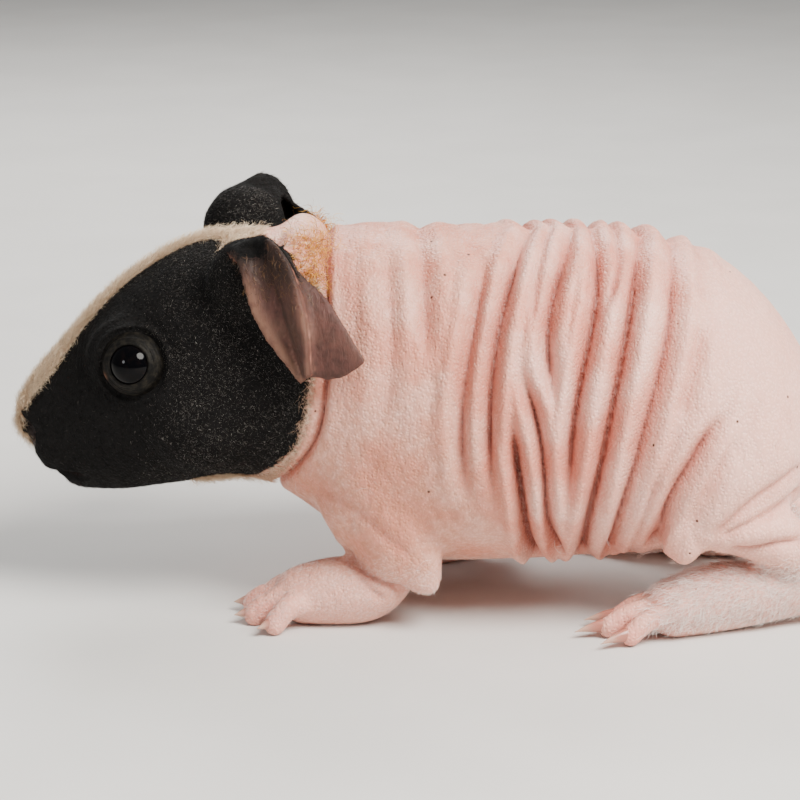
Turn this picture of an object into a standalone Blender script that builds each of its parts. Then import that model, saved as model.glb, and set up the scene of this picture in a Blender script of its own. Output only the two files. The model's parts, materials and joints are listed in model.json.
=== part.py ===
"""A skinny pig pup at life size, standing still with its head reached forward.

The flesh is modelled whole and then parted by thin cuts into the head, the neck, the
torso, the legs and the feet. The nose points to -X, the left side of the animal faces
-Y, and the soles stand on z = 0.
"""

import math

import bmesh
import bpy
import numpy as np
from mathutils import Matrix, Vector

MM = 0.001
OBJECT_NAME = "skinny_pig"
GAP = 0.3 * MM
LEFT, RIGHT = -1, 1
SIDE_NAMES = {LEFT: "left", RIGHT: "right"}

# Nose tip and rump, each a place along the body and a height
NOSE_TIP = (-64.9 * MM, 29.3 * MM)
RUMP_TIP = (64.6 * MM, 29.0 * MM)

# Sections of the head and trunk. Each row: place along the body, height of the back,
# height of the belly, half width, height where the section is widest
SECTIONS = MM * np.array([
    (-63.6, 33.2, 26.8, 4.6, 29.6),
    (-60.4, 37.8, 23.9, 6.8, 29.4),
    (-56.4, 42.4, 19.4, 8.8, 29.0),
    (-50.0, 49.6, 17.4, 11.6, 30.5),
    (-43.0, 55.0, 18.3, 14.3, 32.5),
    (-35.0, 59.0, 19.8, 16.8, 34.0),
    (-26.0, 59.9, 20.3, 18.2, 36.0),
    (-18.0, 60.4, 15.8, 19.3, 35.0),
    (-9.5, 60.6, 9.8, 22.4, 32.0),
    (4.5, 60.1, 7.2, 25.6, 30.0),
    (20.0, 60.5, 7.8, 26.8, 30.5),
    (36.0, 59.3, 9.0, 27.2, 30.5),
    (45.0, 56.2, 10.6, 26.6, 30.0),
    (53.0, 50.4, 12.8, 22.6, 29.5),
    (59.5, 42.2, 16.4, 16.4, 29.0),
    (63.2, 35.0, 21.4, 9.0, 28.5),
])
UPPER_SQUARENESS = 2.1
LOWER_SQUARENESS = 2.25

# Rounded masses on one side, mirrored to the other: centre and half sizes
MASSES = MM * np.array([
    ((-33.0, 9.8, 32.4), (13.0, 8.6, 9.8)),
    ((-57.2, 4.2, 26.2), (4.9, 4.4, 4.9)),
    ((-45.4, 8.6, 41.6), (7.6, 4.9, 7.0)),
    ((-19.0, 5.0, 55.0), (4.6, 9.0, 6.6)),
    ((-53.6, 1.5, 20.6), (4.6, 3.6, 3.2)),
    ((-5.0, 13.6, 25.0), (12.5, 9.6, 16.0)),
    ((45.0, 14.8, 27.5), (14.5, 11.4, 14.5)),
])

# Limbs, as rows of centre, half width and half height. The foreleg runs from the
# shoulder to the palm, and its skin hangs in a sleeve with a hem and an elbow flap
FORELEG = MM * np.array([
    (-5.5, 14.5, 20.0, 8.5, 9.0),
    (-3.8, 16.4, 14.0, 6.6, 6.0),
    (-4.8, 16.6, 9.5, 4.8, 4.4),
    (-7.5, 15.8, 6.2, 4.9, 5.0),
    (-12.5, 14.6, 4.9, 6.0, 5.4),
    (-18.0, 13.8, 4.0, 6.2, 4.6),
])
ELBOW_FLAP = MM * np.array([
    (-3.0, 18.0, 14.0, 4.0, 5.0),
    (0.2, 19.6, 10.8, 3.0, 3.4),
    (0.8, 20.6, 8.5, 2.2, 2.2),
])
SLEEVE_HEM = MM * np.array([
    (-12.4, 13.4, 13.2, 1.7, 1.5),
    (-7.6, 17.4, 10.7, 1.7, 1.5),
    (-3.4, 19.8, 9.1, 1.8, 1.6),
    (0.2, 20.8, 8.2, 1.8, 1.8),
])
FAR_FORELEG_SHIFT = 16.5 * MM
FULL_SHIFT_BELOW, LEAST_SHIFT_ABOVE, LEAST_SHIFT = 4.0 * MM, 20.0 * MM, 0.3
HINDLEG = MM * np.array([
    (46.0, 17.0, 26.0, 10.0, 10.0),
    (46.0, 20.0, 20.0, 6.6, 6.4),
    (52.5, 18.6, 16.2, 5.4, 5.0),
    (59.2, 15.0, 10.2, 4.2, 5.0),
])
HINDFOOT = MM * np.array([
    (60.0, 14.4, 6.2, 4.4, 5.2),
    (53.0, 16.4, 5.2, 4.8, 5.0),
    (46.0, 18.4, 4.9, 5.0, 5.4),
    (39.5, 20.4, 3.9, 5.0, 4.5),
])
FLANK_FLAP = MM * np.array([
    (40.8, 20.8, 19.0, 4.6, 4.6),
    (40.6, 22.4, 15.8, 3.2, 3.2),
    (40.4, 23.0, 13.7, 2.2, 2.2),
])
FAR_HINDLEG_SHIFT = 0.6 * MM
# The last smoothing leaves everything below this height alone, so the soles stay flat
FEET_TOP = 4.0 * MM
SPHERES_PER_SPAN = 5

# Toes: Y of the root, X and Y of the tip, radius
FORE_TOE_ROOT_X, FORE_TOE_ROOT_Z = -18.3 * MM, 4.0 * MM
FORE_TOES = MM * np.array([
    (10.4, -24.4, 7.4, 1.85),
    (12.8, -26.6, 11.4, 2.1),
    (15.8, -26.2, 16.6, 2.1),
    (18.4, -22.9, 21.4, 1.9),
])
HIND_TOE_ROOT_X, HIND_TOE_ROOT_Z = 38.5 * MM, 3.6 * MM
HIND_TOES = MM * np.array([
    (17.6, 30.8, 18.0, 1.75),
    (20.6, 29.0, 22.6, 1.85),
    (23.4, 32.2, 26.6, 1.75),
])
TOE_TIP_Z = 1.6 * MM
TOE_KNUCKLE_RISE = 1.2 * MM

# Folds of loose skin on the trunk, front to back. Each row: turn round the trunk at the
# upper and the lower end, from the spine (0) to the belly (1), place along the body at
# four even steps between them, depth and half width
FLANK_FOLDS = [
    (0.04, 0.34, 0.0, 0.2, 0.3, 0.4, 0.60, 1.7),
    (0.10, 0.62, 10.0, 8.0, 5.9, 7.6, 1.30, 1.6),
    (0.00, 0.62, 17.2, 13.0, 10.1, 11.2, 1.75, 1.4),
    (0.00, 0.32, 20.2, 18.6, 17.4, 16.4, 1.10, 1.3),
    (0.00, 0.44, 23.8, 21.5, 19.0, 20.4, 1.75, 1.4),
    (0.33, 0.80, 14.0, 18.0, 19.2, 22.2, 1.60, 1.2),
    (0.42, 0.86, 13.0, 15.0, 16.4, 18.6, 2.10, 1.3),
    (0.00, 0.66, 26.4, 26.6, 23.0, 22.6, 1.85, 1.4),
    (0.00, 0.27, 30.2, 30.3, 29.8, 27.2, 1.35, 1.3),
    (0.00, 0.88, 34.4, 31.0, 26.2, 25.4, 1.90, 1.5),
    (0.00, 0.84, 39.2, 37.4, 31.4, 29.0, 1.45, 1.7),
    (0.00, 0.22, 43.2, 43.0, 42.8, 42.4, 0.60, 1.8),
    (0.24, 0.45, 42.6, 41.6, 40.2, 37.8, 0.75, 1.6),
    (0.40, 0.78, 47.0, 40.0, 36.8, 35.8, 1.50, 1.5),
    (0.55, 0.76, 42.6, 41.5, 40.6, 39.4, 1.10, 1.2),
]
FAR_SIDE_SLIP, FAR_SIDE_SLIP_RUN = 1.4 * MM, 6.0 * MM

# Creases of the limbs as seen from the side: places along the body and heights, then
# depth and half width
LIMB_CREASES = [
    ([(60.0, 26.6), (54.0, 24.2), (47.6, 20.2), (44.0, 16.4)], 1.00, 1.1),
    ([(60.0, 21.6), (53.7, 20.1), (49.3, 18.8), (45.1, 16.6)], 0.90, 1.0),
    ([(46.6, 14.8), (49.5, 14.2), (54.8, 15.0), (60.0, 15.0)], 1.10, 1.1),
    ([(-13.4, 12.6), (-9.0, 9.4), (-4.6, 7.4), (-1.5, 6.2)], 1.00, 1.0),
]
FOLD_SHARPNESS = 1.8
FOLD_BLEND = 3
VALLEY_SHARE, BANK_SHARE, BANK_DISTANCE = 1.1, 0.5, 1.9

# The crease that parts the cheek and nape from the shoulder: place along the body at a height
NECK_CREASE = MM * np.array([
    (-25.0, 17.0), (-21.0, 23.5), (-17.6, 29.0), (-15.4, 37.0), (-14.8, 50.0), (-14.4, 64.0),
])
NECK_CREASE_DEPTH, NECK_CREASE_WIDTH = 1.3 * MM, 1.1 * MM
NECK_BACK = MM * np.array([(-5.5, 66.0), (-8.0, 34.0), (-13.5, 0.0)])

EYE_CENTRE = Vector((-45.7, 11.1, 41.2)) * MM
EYE_RADIUS = 4.1 * MM
EYE_AXIS = Vector((-0.22, 0.95, 0.2)).normalized()
LID_OFFSET = 2.4 * MM
LID_RADIUS, LID_THICKNESS = 3.85 * MM, 0.8 * MM

NOSTRIL = MM * np.array([(-62.4, 3.1, 29.6), (-61.4, 4.9, 28.6), (-61.8, 5.2, 27.0)])
NOSTRIL_RADIUS = 0.7 * MM
MOUTH = MM * np.array([(-61.0, 0.0, 22.6), (-59.6, 3.6, 21.4), (-56.4, 7.0, 20.4), (-53.4, 8.6, 20.6)])
MOUTH_RADIUS = 0.5 * MM
# The ear is one bent sheet between three edges, each a path from its root over its arch
# down to its free edge. A groove lies between the front rim and the ridge, and the rear
# flap comes out from under the ridge
EAR_FRONT = MM * np.array([
    (-29.0, 10.5, 56.0), (-29.6, 14.0, 60.2), (-28.0, 18.6, 58.1),
    (-26.3, 20.4, 52.6), (-23.4, 21.6, 47.2), (-18.3, 22.6, 40.9),
])
EAR_RIDGE = MM * np.array([
    (-24.5, 10.5, 58.0), (-24.8, 16.0, 62.4), (-21.3, 21.2, 61.0),
    (-19.1, 24.0, 56.4), (-17.8, 25.2, 49.9), (-17.4, 24.9, 42.4),
])
EAR_REAR = MM * np.array([
    (-20.0, 10.5, 56.0), (-20.2, 14.8, 59.2), (-18.9, 18.2, 57.6),
    (-15.2, 20.8, 54.8), (-11.6, 22.8, 49.8), (-8.5, 24.2, 44.9),
])
EAR_RIDGE_AT = 0.5
EAR_GROOVE, EAR_TUCK, EAR_HEM = 2.0 * MM, 2.2 * MM, 1.7 * MM
EAR_BASE = (Vector((-26.4, 12.6, 54.8)) * MM, Vector((7.2, 5.2, 7.0)) * MM)
FAR_EAR_LIFT = np.array((-2.2, 0.0, 2.6)) * MM
EAR_THICKNESS = 0.9 * MM
EAR_CELLS = 10

FORE_CLAW_LENGTH, HIND_CLAW_LENGTH = 2.4 * MM, 3.9 * MM
CLAW_ROOT_RADIUS, CLAW_TIP_RADIUS = 0.85 * MM, 0.12 * MM
CLAW_SIDES, CLAW_RINGS = 6, 4
CLAW_LIFT = 0.2 * MM

VOXEL = 0.8 * MM
FLESH_TRIANGLES = 9400

PINK = (0.78, 0.47, 0.41)
PALE_PINK = (0.85, 0.60, 0.56)
BLACK_FUR = (0.012, 0.011, 0.011)
EAR_BROWN = (0.16, 0.09, 0.08)
CLAW_HORN = (0.55, 0.30, 0.24)


def clear_scene():
    for obj in list(bpy.data.objects):
        bpy.data.objects.remove(obj)


def new_collection(name):
    collection = bpy.data.collections.new(name)
    bpy.context.scene.collection.children.link(collection)
    return collection


def new_material(name, colour, roughness):
    material = bpy.data.materials.new(name)
    material.use_nodes = True
    shader = material.node_tree.nodes["Principled BSDF"]
    shader.inputs["Base Color"].default_value = (*colour, 1.0)
    shader.inputs["Roughness"].default_value = roughness
    shader.inputs["Metallic"].default_value = 0.0
    return material


def object_from(name, mesh_builder, collection):
    """Put a bmesh into a new object and free it."""
    mesh = bpy.data.meshes.new(name)
    mesh_builder.to_mesh(mesh)
    mesh_builder.free()
    obj = bpy.data.objects.new(name, mesh)
    collection.objects.link(obj)
    return obj


def coordinates(mesh):
    values = np.empty(len(mesh.vertices) * 3)
    mesh.vertices.foreach_get("co", values)
    return values.reshape(-1, 3)


def normals(mesh):
    values = np.empty(len(mesh.vertices) * 3)
    mesh.vertices.foreach_get("normal", values)
    return values.reshape(-1, 3)


def set_coordinates(mesh, values):
    mesh.vertices.foreach_set("co", values.ravel())
    mesh.update()


def apply_modifiers(obj):
    """Replace the object's mesh by its evaluated one."""
    graph = bpy.context.evaluated_depsgraph_get()
    mesh = bpy.data.meshes.new_from_object(obj.evaluated_get(graph))
    obj.modifiers.clear()
    obj.data = mesh


def smooth_curve(knots, values, at):
    """Natural cubic spline through the rows of values, read at the given places."""
    knots = np.asarray(knots, float)
    values = np.asarray(values, float).reshape(len(knots), -1)
    steps = np.diff(knots)
    slopes = np.diff(values, axis=0) / steps[:, None]
    system = np.eye(len(knots))
    right = np.zeros_like(values)
    for i in range(1, len(knots) - 1):
        system[i, i - 1:i + 2] = steps[i - 1], 2 * (steps[i - 1] + steps[i]), steps[i]
        right[i] = 6 * (slopes[i] - slopes[i - 1])
    bends = np.linalg.solve(system, right)
    at = np.clip(np.atleast_1d(at), knots[0], knots[-1])
    span = np.clip(np.searchsorted(knots, at) - 1, 0, len(steps) - 1)
    h = steps[span][:, None]
    a = (knots[span + 1] - at)[:, None] / h
    b = 1 - a
    return (a * values[span] + b * values[span + 1]
            + ((a**3 - a) * bends[span] + (b**3 - b) * bends[span + 1]) * h * h / 6)


def smooth_path(points, count):
    """The points joined by a smooth curve, as evenly numbered places along it."""
    points = np.asarray(points, float)
    along = np.concatenate([[0], np.cumsum(np.linalg.norm(np.diff(points[:, :3], axis=0), axis=1))])
    return smooth_curve(along, points, np.linspace(0, along[-1], count))


def bell(distance, width):
    return np.exp(-((distance / width) ** 2))


def ramp(value, low, high):
    """0 below low, 1 above high, with soft ends."""
    t = np.clip((value - low) / (high - low), 0, 1)
    return t * t * (3 - 2 * t)


def body_angle(x):
    """Angle from the nose tip (0) to the rump (pi) of a place along the body."""
    length = RUMP_TIP[0] - NOSE_TIP[0]
    return np.arccos(np.clip(1 - 2 * (np.asarray(x) - NOSE_TIP[0]) / length, -1, 1))


def section_sizes(x):
    """Back, belly, half width and widest height of the body at places along it."""
    nose = (NOSE_TIP[1], NOSE_TIP[1], 0, NOSE_TIP[1])
    rump = (RUMP_TIP[1], RUMP_TIP[1], 0, RUMP_TIP[1])
    knots = np.concatenate([[0], body_angle(SECTIONS[:, 0]), [math.pi]])
    return smooth_curve(knots, np.vstack([nose, SECTIONS[:, 1:], rump]), body_angle(x)).T


def section_point(x, roll):
    """Point of the body's surface at a place along it; roll is 0 at +Y and a quarter turn at the back."""
    back, belly, half_width, widest = section_sizes(x)
    rise, out = np.sin(roll), np.cos(roll)
    square = np.where(rise > 0, UPPER_SQUARENESS, LOWER_SQUARENESS)
    height = np.where(rise > 0, back - widest, widest - belly)
    y = half_width * np.sign(out) * np.abs(out) ** (2 / square)
    z = widest + height * np.sign(rise) * np.abs(rise) ** (2 / square)
    return np.stack([np.asarray(x) + 0 * y, y, z], axis=-1)


def flank_point(x, turn, side):
    """Point of the trunk's surface, by its turn from the spine (0) to the belly (1)."""
    roll = math.pi / 2 - np.asarray(turn) * math.pi
    point = section_point(np.atleast_1d(x), np.atleast_1d(roll))
    point[:, 1] *= side
    return point


def unit_sphere(segments, rings):
    """Corners and faces of a sphere of radius 1 with its poles on the X axis."""
    builder = bmesh.new()
    bmesh.ops.create_uvsphere(builder, u_segments=segments, v_segments=rings, radius=1.0)
    builder.verts.index_update()
    corners = np.array([(-v.co.z, v.co.x, v.co.y) for v in builder.verts])
    faces = [[v.index for v in face.verts] for face in builder.faces]
    builder.free()
    return corners, faces


class Clay:
    """Closed forms that overlap, gathered for one mesh."""

    def __init__(self):
        self.corners, self.faces, self.count = [], [], 0
        self.ball = unit_sphere(20, 14)

    def add(self, corners, faces):
        self.corners.append(corners)
        self.faces += [[self.count + index for index in face] for face in faces]
        self.count += len(corners)

    def add_ellipsoid(self, centre, radii):
        corners, faces = self.ball
        self.add(corners * radii + centre, faces)

    def add_chain(self, rows, side, shift):
        """Overlapping spheres along a smooth path through rows of centre, half width and half height."""
        for x, y, z, half_width, half_height in smooth_path(rows, SPHERES_PER_SPAN * (len(rows) - 1) + 1):
            radii = (0.5 * (half_width + half_height), half_width, half_height)
            self.add_ellipsoid((x + shift, side * y, z), radii)


def toe_rows(root_x, root_z, toe):
    """Rows of one toe from its root over the knuckle to its tip."""
    root_y, tip_x, tip_y, radius = toe
    knuckle_x, knuckle_y = 0.5 * (root_x + tip_x), 0.5 * (root_y + tip_y)
    knuckle_z = 0.5 * (root_z + TOE_TIP_Z) + TOE_KNUCKLE_RISE
    return np.array([
        (root_x, root_y, root_z, radius * 1.1, radius * 1.1),
        (knuckle_x, knuckle_y, knuckle_z, radius, radius),
        (tip_x, tip_y, TOE_TIP_Z, radius * 0.9, radius * 0.95),
    ])


def leg_shifts(side):
    """How far the feet of one side are set back from the near ones."""
    return (0.0, 0.0) if side == LEFT else (FAR_FORELEG_SHIFT, FAR_HINDLEG_SHIFT)


def shifted_leg(rows, shift):
    """The rows with a shift that grows from the joint to the foot."""
    rows = rows.copy()
    share = (LEAST_SHIFT_ABOVE - rows[:, 2]) / (LEAST_SHIFT_ABOVE - FULL_SHIFT_BELOW)
    rows[:, 0] += shift * np.clip(share, LEAST_SHIFT, 1)
    return rows


def ear_lift(side):
    """How far the ear of a side is moved with the tilt of the head."""
    return FAR_EAR_LIFT if side == RIGHT else np.zeros(3)


def rough_flesh(collection):
    """Head, trunk and limbs as overlapping closed forms in one mesh."""
    clay = Clay()
    unit, faces = unit_sphere(80, 120)
    x = NOSE_TIP[0] + 0.5 * (RUMP_TIP[0] - NOSE_TIP[0]) * (1 + unit[:, 0])
    clay.add(section_point(x, np.arctan2(unit[:, 2], unit[:, 1])), faces)
    for side in (LEFT, RIGHT):
        for centre, radii in MASSES:
            clay.add_ellipsoid(centre * (1, side, 1), radii)
        centre, radii = (np.array(v) for v in EAR_BASE)
        clay.add_ellipsoid(centre * (1, side, 1) + ear_lift(side), radii)
        fore_shift, hind_shift = leg_shifts(side)
        for rows in (FORELEG, ELBOW_FLAP, SLEEVE_HEM):
            clay.add_chain(shifted_leg(rows, fore_shift), side, 0)
        for rows in (HINDLEG, HINDFOOT, FLANK_FLAP):
            clay.add_chain(rows, side, hind_shift)
        for toe in FORE_TOES:
            clay.add_chain(toe_rows(FORE_TOE_ROOT_X, FORE_TOE_ROOT_Z, toe), side, fore_shift)
        for toe in HIND_TOES:
            clay.add_chain(toe_rows(HIND_TOE_ROOT_X, HIND_TOE_ROOT_Z, toe), side, hind_shift)
    mesh = bpy.data.meshes.new("flesh")
    mesh.from_pydata(np.vstack(clay.corners).tolist(), [], clay.faces)
    flesh = bpy.data.objects.new("flesh", mesh)
    collection.objects.link(flesh)
    return flesh


def path_distance(points, path):
    """Distance of each point to a path, and how far along the path (0 to 1) that is."""
    steps = np.diff(path, axis=0)
    lengths = np.linalg.norm(steps, axis=1)
    starts = np.concatenate([[0], np.cumsum(lengths)])
    nearest = np.full(len(points), np.inf)
    along = np.zeros(len(points))
    for start, step, length, begun in zip(path[:-1], steps, lengths, starts[:-1]):
        offset = points - start
        part = np.clip(offset @ step / length**2, 0, 1)
        distance = np.linalg.norm(offset - part[:, None] * step, axis=1)
        closer = distance < nearest
        nearest = np.where(closer, distance, nearest)
        along = np.where(closer, (begun + part * length) / starts[-1], along)
    return nearest, along


class Folds:
    """Valleys with rounded banks, gathered over one surface and then pressed in at once."""

    def __init__(self, points):
        self.total = np.zeros(len(points))
        self.bank = np.zeros(len(points))

    def press(self, distance, depth, width, where=1.0, banked=True):
        """Add one valley, given the distance of each point to its line."""
        self.total += (depth * where * np.exp(-((distance / width) ** FOLD_SHARPNESS))) ** FOLD_BLEND
        if banked:
            bank = BANK_SHARE * depth * where * bell(distance - BANK_DISTANCE * width, width)
            self.bank = np.maximum(self.bank, bank)

    def offsets(self):
        return self.bank - VALLEY_SHARE * self.total ** (1 / FOLD_BLEND)


def fade_ends(along, whole_start=False, share=0.14):
    """1 along the middle of a path, falling to 0 at its ends, or at its far end only."""
    from_end = 1 - along if whole_start else np.minimum(along, 1 - along)
    return ramp(from_end, -0.01, share)


def flank_path(fold, side, count=24):
    """Path of one flank fold over the trunk."""
    place = np.linspace(fold[0], fold[1], count)
    xs = smooth_curve(np.linspace(fold[0], fold[1], 4), np.array(fold[2:6]) * MM, place)[:, 0]
    if side == RIGHT:
        xs += FAR_SIDE_SLIP * np.sin(xs / FAR_SIDE_SLIP_RUN) * ramp(place, 0.0, 0.2)
    return flank_point(xs, place, side)


def crease_x(z):
    """Place along the body of the neck crease at a height."""
    return smooth_curve(NECK_CREASE[:, 1], NECK_CREASE[:, 0], z)[:, 0]


def sculpt(flesh):
    """Press the folds of the flank, the limbs and the neck into the flesh."""
    mesh = flesh.data
    points, facing = coordinates(mesh), normals(mesh)
    folds = Folds(points)
    above_feet = ramp(points[:, 2], 4.5 * MM, 7.0 * MM)
    for side in (LEFT, RIGHT):
        on_side = ramp(side * points[:, 1], -1.0 * MM, 1.0 * MM)
        for fold in FLANK_FOLDS:
            distance, along = path_distance(points, flank_path(fold, side))
            where = on_side * above_feet * fade_ends(along, whole_start=fold[0] == 0)
            folds.press(distance, fold[6] * MM, fold[7] * MM, where)
        fore_shift, hind_shift = leg_shifts(side)
        outward = ramp(side * facing[:, 1], 0.0, 0.35)
        for line, depth, width in LIMB_CREASES:
            path = smooth_path(np.array(line) * MM, 24)
            path[:, 0] += 0.7 * fore_shift if line[0][0] < 0 else hind_shift
            distance, along = path_distance(points[:, [0, 2]], path)
            folds.press(distance, depth * MM, width * MM, on_side * outward * fade_ends(along), False)
    height = points[:, 2]
    ring = np.abs(points[:, 0] - crease_x(height))
    shallow_above = 1 - 0.5 * ramp(height, 52 * MM, 60 * MM)
    where = ramp(height, 4 * MM, 8 * MM) * shallow_above
    folds.press(ring, NECK_CREASE_DEPTH, NECK_CREASE_WIDTH, where, False)
    set_coordinates(mesh, points + facing * folds.offsets()[:, None])


def make_flesh(collection):
    """The whole flesh: fused, softened, folded, thinned out and flat under the feet."""
    flesh = rough_flesh(collection)
    remesh = flesh.modifiers.new("fuse", "REMESH")
    remesh.mode = "VOXEL"
    remesh.voxel_size = VOXEL
    apply_modifiers(flesh)
    points = coordinates(flesh.data)
    foot = 1 - ramp(points[:, 2], 6.0 * MM, 12.0 * MM)
    muzzle = bell(points[:, 0] - NOSE_TIP[0], 7 * MM)
    soft = flesh.vertex_groups.new(name="soft")
    for index, weight in enumerate(1 - 0.85 * np.maximum(foot, 0.6 * muzzle)):
        soft.add([index], float(weight), "REPLACE")
    smooth = flesh.modifiers.new("soften", "SMOOTH")
    smooth.factor = 0.5
    smooth.iterations = 30
    smooth.vertex_group = "soft"
    apply_modifiers(flesh)
    sculpt(flesh)
    thin = flesh.modifiers.new("thin", "DECIMATE")
    thin.ratio = FLESH_TRIANGLES / (2 * len(flesh.data.polygons))
    thin.use_collapse_triangulate = True
    apply_modifiers(flesh)
    height = coordinates(flesh.data)[:, 2]
    above = flesh.vertex_groups.new(name="above_feet")
    for index, weight in enumerate(ramp(height, FEET_TOP, 2 * FEET_TOP)):
        above.add([index], float(weight), "REPLACE")
    even = flesh.modifiers.new("even", "SMOOTH")
    even.factor = 0.35
    even.iterations = 2
    even.vertex_group = "above_feet"
    apply_modifiers(flesh)
    return flesh


def boolean(obj, operation, other, solver="EXACT"):
    modifier = obj.modifiers.new("cut", "BOOLEAN")
    modifier.operation = operation
    modifier.object = other
    modifier.solver = solver
    apply_modifiers(obj)


def keep_largest(obj):
    """Drop every closed surface but the largest."""
    builder = bmesh.new()
    builder.from_mesh(obj.data)
    bmesh.ops.triangulate(builder, faces=builder.faces)
    left = set(builder.verts)
    shells = []
    while left:
        shell, edge = set(), [next(iter(left))]
        while edge:
            vertex = edge.pop()
            if vertex in shell:
                continue
            shell.add(vertex)
            edge.extend(link.other_vert(vertex) for link in vertex.link_edges)
        shells.append(shell)
        left -= shell
    largest = max(shells, key=len)
    bmesh.ops.delete(builder, geom=[v for v in builder.verts if v not in largest], context="VERTS")
    builder.to_mesh(obj.data)
    builder.free()


def grown_outline(outline, distance):
    """An anticlockwise outline with each corner moved outwards by the distance."""
    outline = np.asarray(outline, float)
    before, after = np.roll(outline, 1, axis=0), np.roll(outline, -1, axis=0)

    def outward(step):
        step = step / np.linalg.norm(step, axis=1)[:, None]
        return np.stack([step[:, 1], -step[:, 0]], axis=1)

    first, second = outward(outline - before), outward(after - outline)
    middle = first + second
    return outline + distance * middle / (1 + (first * second).sum(axis=1))[:, None]


def prism(name, outline, side, inner, collection, grow=0.0):
    """A side-view outline carried outwards on one side of the body, as a cutter.

    inner holds how far from the middle it starts at the floor, and how much further
    for each step of height.
    """
    outline = grown_outline(outline, grow)
    builder = bmesh.new()
    start, lean = inner
    start -= grow * math.hypot(1, lean)
    face = builder.faces.new([builder.verts.new((x, side * (start + lean * z), z)) for x, z in outline])
    made = bmesh.ops.extrude_face_region(builder, geom=[face])
    for vertex in made["geom"]:
        if isinstance(vertex, bmesh.types.BMVert):
            vertex.co.y = side * FAR
    bmesh.ops.recalc_face_normals(builder, faces=builder.faces)
    cutter = object_from(name, builder, collection)
    cutter.hide_render = True
    cutter.display_type = "WIRE"
    return cutter


def copy_of(obj, name, collection):
    twin = bpy.data.objects.new(name, obj.data.copy())
    collection.objects.link(twin)
    return twin


FAR = 90 * MM
LEG_INNER = (10.0 * MM, 0.15)
FORE_PAW_INNER = (-5.2 * MM, 1.79)
HIND_FOOT_INNER = (8.0 * MM, 0.0)
WHOLE_WIDTH = (-FAR, 0.0)
FORE_LEG_SHOULDER = (-4.5 * MM, 20.0 * MM, 11.5 * MM, 13.0 * MM)
FORE_PAW_OUTLINE = MM * np.array([(-34.0, -4.0), (-3.5, -4.0), (-8.6, 9.6), (-34.0, 9.6)])
HIND_LEG_HAUNCH = (51.0 * MM, 20.0 * MM, 16.5 * MM, 17.0 * MM)
HIND_FOOT_OUTLINE = MM * np.array([
    (18.0, -4.0), (76.0, -4.0), (76.0, 10.0), (58.0, 11.2), (47.0, 11.2), (39.0, 8.0), (18.0, 8.0),
])


def leg_outline(oval, steps=14):
    """Side view of a leg: a half oval round its joint, carried straight down past the floor."""
    x, z, half_length, half_height = oval
    arc = np.linspace(0, math.pi, steps)
    top = np.stack([x + half_length * np.cos(arc), z + half_height * np.sin(arc)], axis=1)
    return np.vstack([top, (x - half_length, -3 * MM), (x + half_length, -3 * MM)])


def part_flesh(flesh, parts, cutters):
    """The nodes of flesh, by name, each with a thin gap to its neighbours."""
    heights = np.linspace(NECK_CREASE[0, 1], NECK_CREASE[-1, 1], 14)
    crease = np.stack([crease_x(heights), heights], axis=1)
    low, high = np.array((crease[0, 0], -FAR)), np.array((crease[-1, 0], FAR))
    crease = np.vstack([low, crease, high])
    neck_heights = np.linspace(0, 66 * MM, 8)
    back_line = smooth_curve(NECK_BACK[::-1, 1], NECK_BACK[::-1, 0], neck_heights)[:, 0]
    back_line = np.stack([back_line, neck_heights], axis=1)
    back_line = np.vstack([(back_line[0, 0], -FAR), back_line, (back_line[-1, 0], FAR)])
    head_outline = np.vstack([(-FAR, -FAR), crease, (-FAR, FAR)])
    front_outline = np.vstack([(-FAR, -FAR), back_line, (-FAR, FAR)])

    nodes = {}
    legs = []
    for side in (LEFT, RIGHT):
        fore_shift, hind_shift = leg_shifts(side)
        for name, foot_name, oval, foot_outline, foot_inner, shift in (
            ("fore_leg", "fore_paw", FORE_LEG_SHOULDER, FORE_PAW_OUTLINE, FORE_PAW_INNER, fore_shift),
            ("hind_leg", "hind_foot", HIND_LEG_HAUNCH, HIND_FOOT_OUTLINE, HIND_FOOT_INNER, hind_shift),
        ):
            outline, foot_outline = leg_outline(oval) + (shift, 0), foot_outline + (shift, 0)
            label = f"{name}_{SIDE_NAMES[side]}"
            foot_label = f"{foot_name}_{SIDE_NAMES[side]}"
            region = prism(f"{label}_region", outline, side, LEG_INNER, cutters)
            around = prism(f"{label}_around", outline, side, LEG_INNER, cutters, GAP)
            foot_region = prism(f"{foot_label}_region", foot_outline, side, foot_inner, cutters)
            foot_around = prism(f"{foot_label}_around", foot_outline, side, foot_inner, cutters, GAP)
            leg = copy_of(flesh, label, parts)
            boolean(leg, "INTERSECT", region)
            boolean(leg, "DIFFERENCE", foot_around)
            foot = copy_of(flesh, foot_label, parts)
            boolean(foot, "INTERSECT", foot_region)
            nodes[label], nodes[foot_label] = leg, foot
            legs += [around, foot_around]

    head = copy_of(flesh, "head", parts)
    boolean(head, "INTERSECT", prism("head_region", head_outline, RIGHT, WHOLE_WIDTH, cutters))
    neck = copy_of(flesh, "neck", parts)
    boolean(neck, "INTERSECT", prism("front_region", front_outline, RIGHT, WHOLE_WIDTH, cutters))
    boolean(neck, "DIFFERENCE", prism("head_around", head_outline, RIGHT, WHOLE_WIDTH, cutters, GAP))
    torso = copy_of(flesh, "torso", parts)
    boolean(torso, "DIFFERENCE", prism("front_around", front_outline, RIGHT, WHOLE_WIDTH, cutters, GAP))
    for cutter in legs:
        boolean(neck, "DIFFERENCE", cutter)
        boolean(torso, "DIFFERENCE", cutter)
    nodes.update(head=head, neck=neck, torso=torso)
    for node in nodes.values():
        keep_largest(node)
    return nodes


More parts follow.
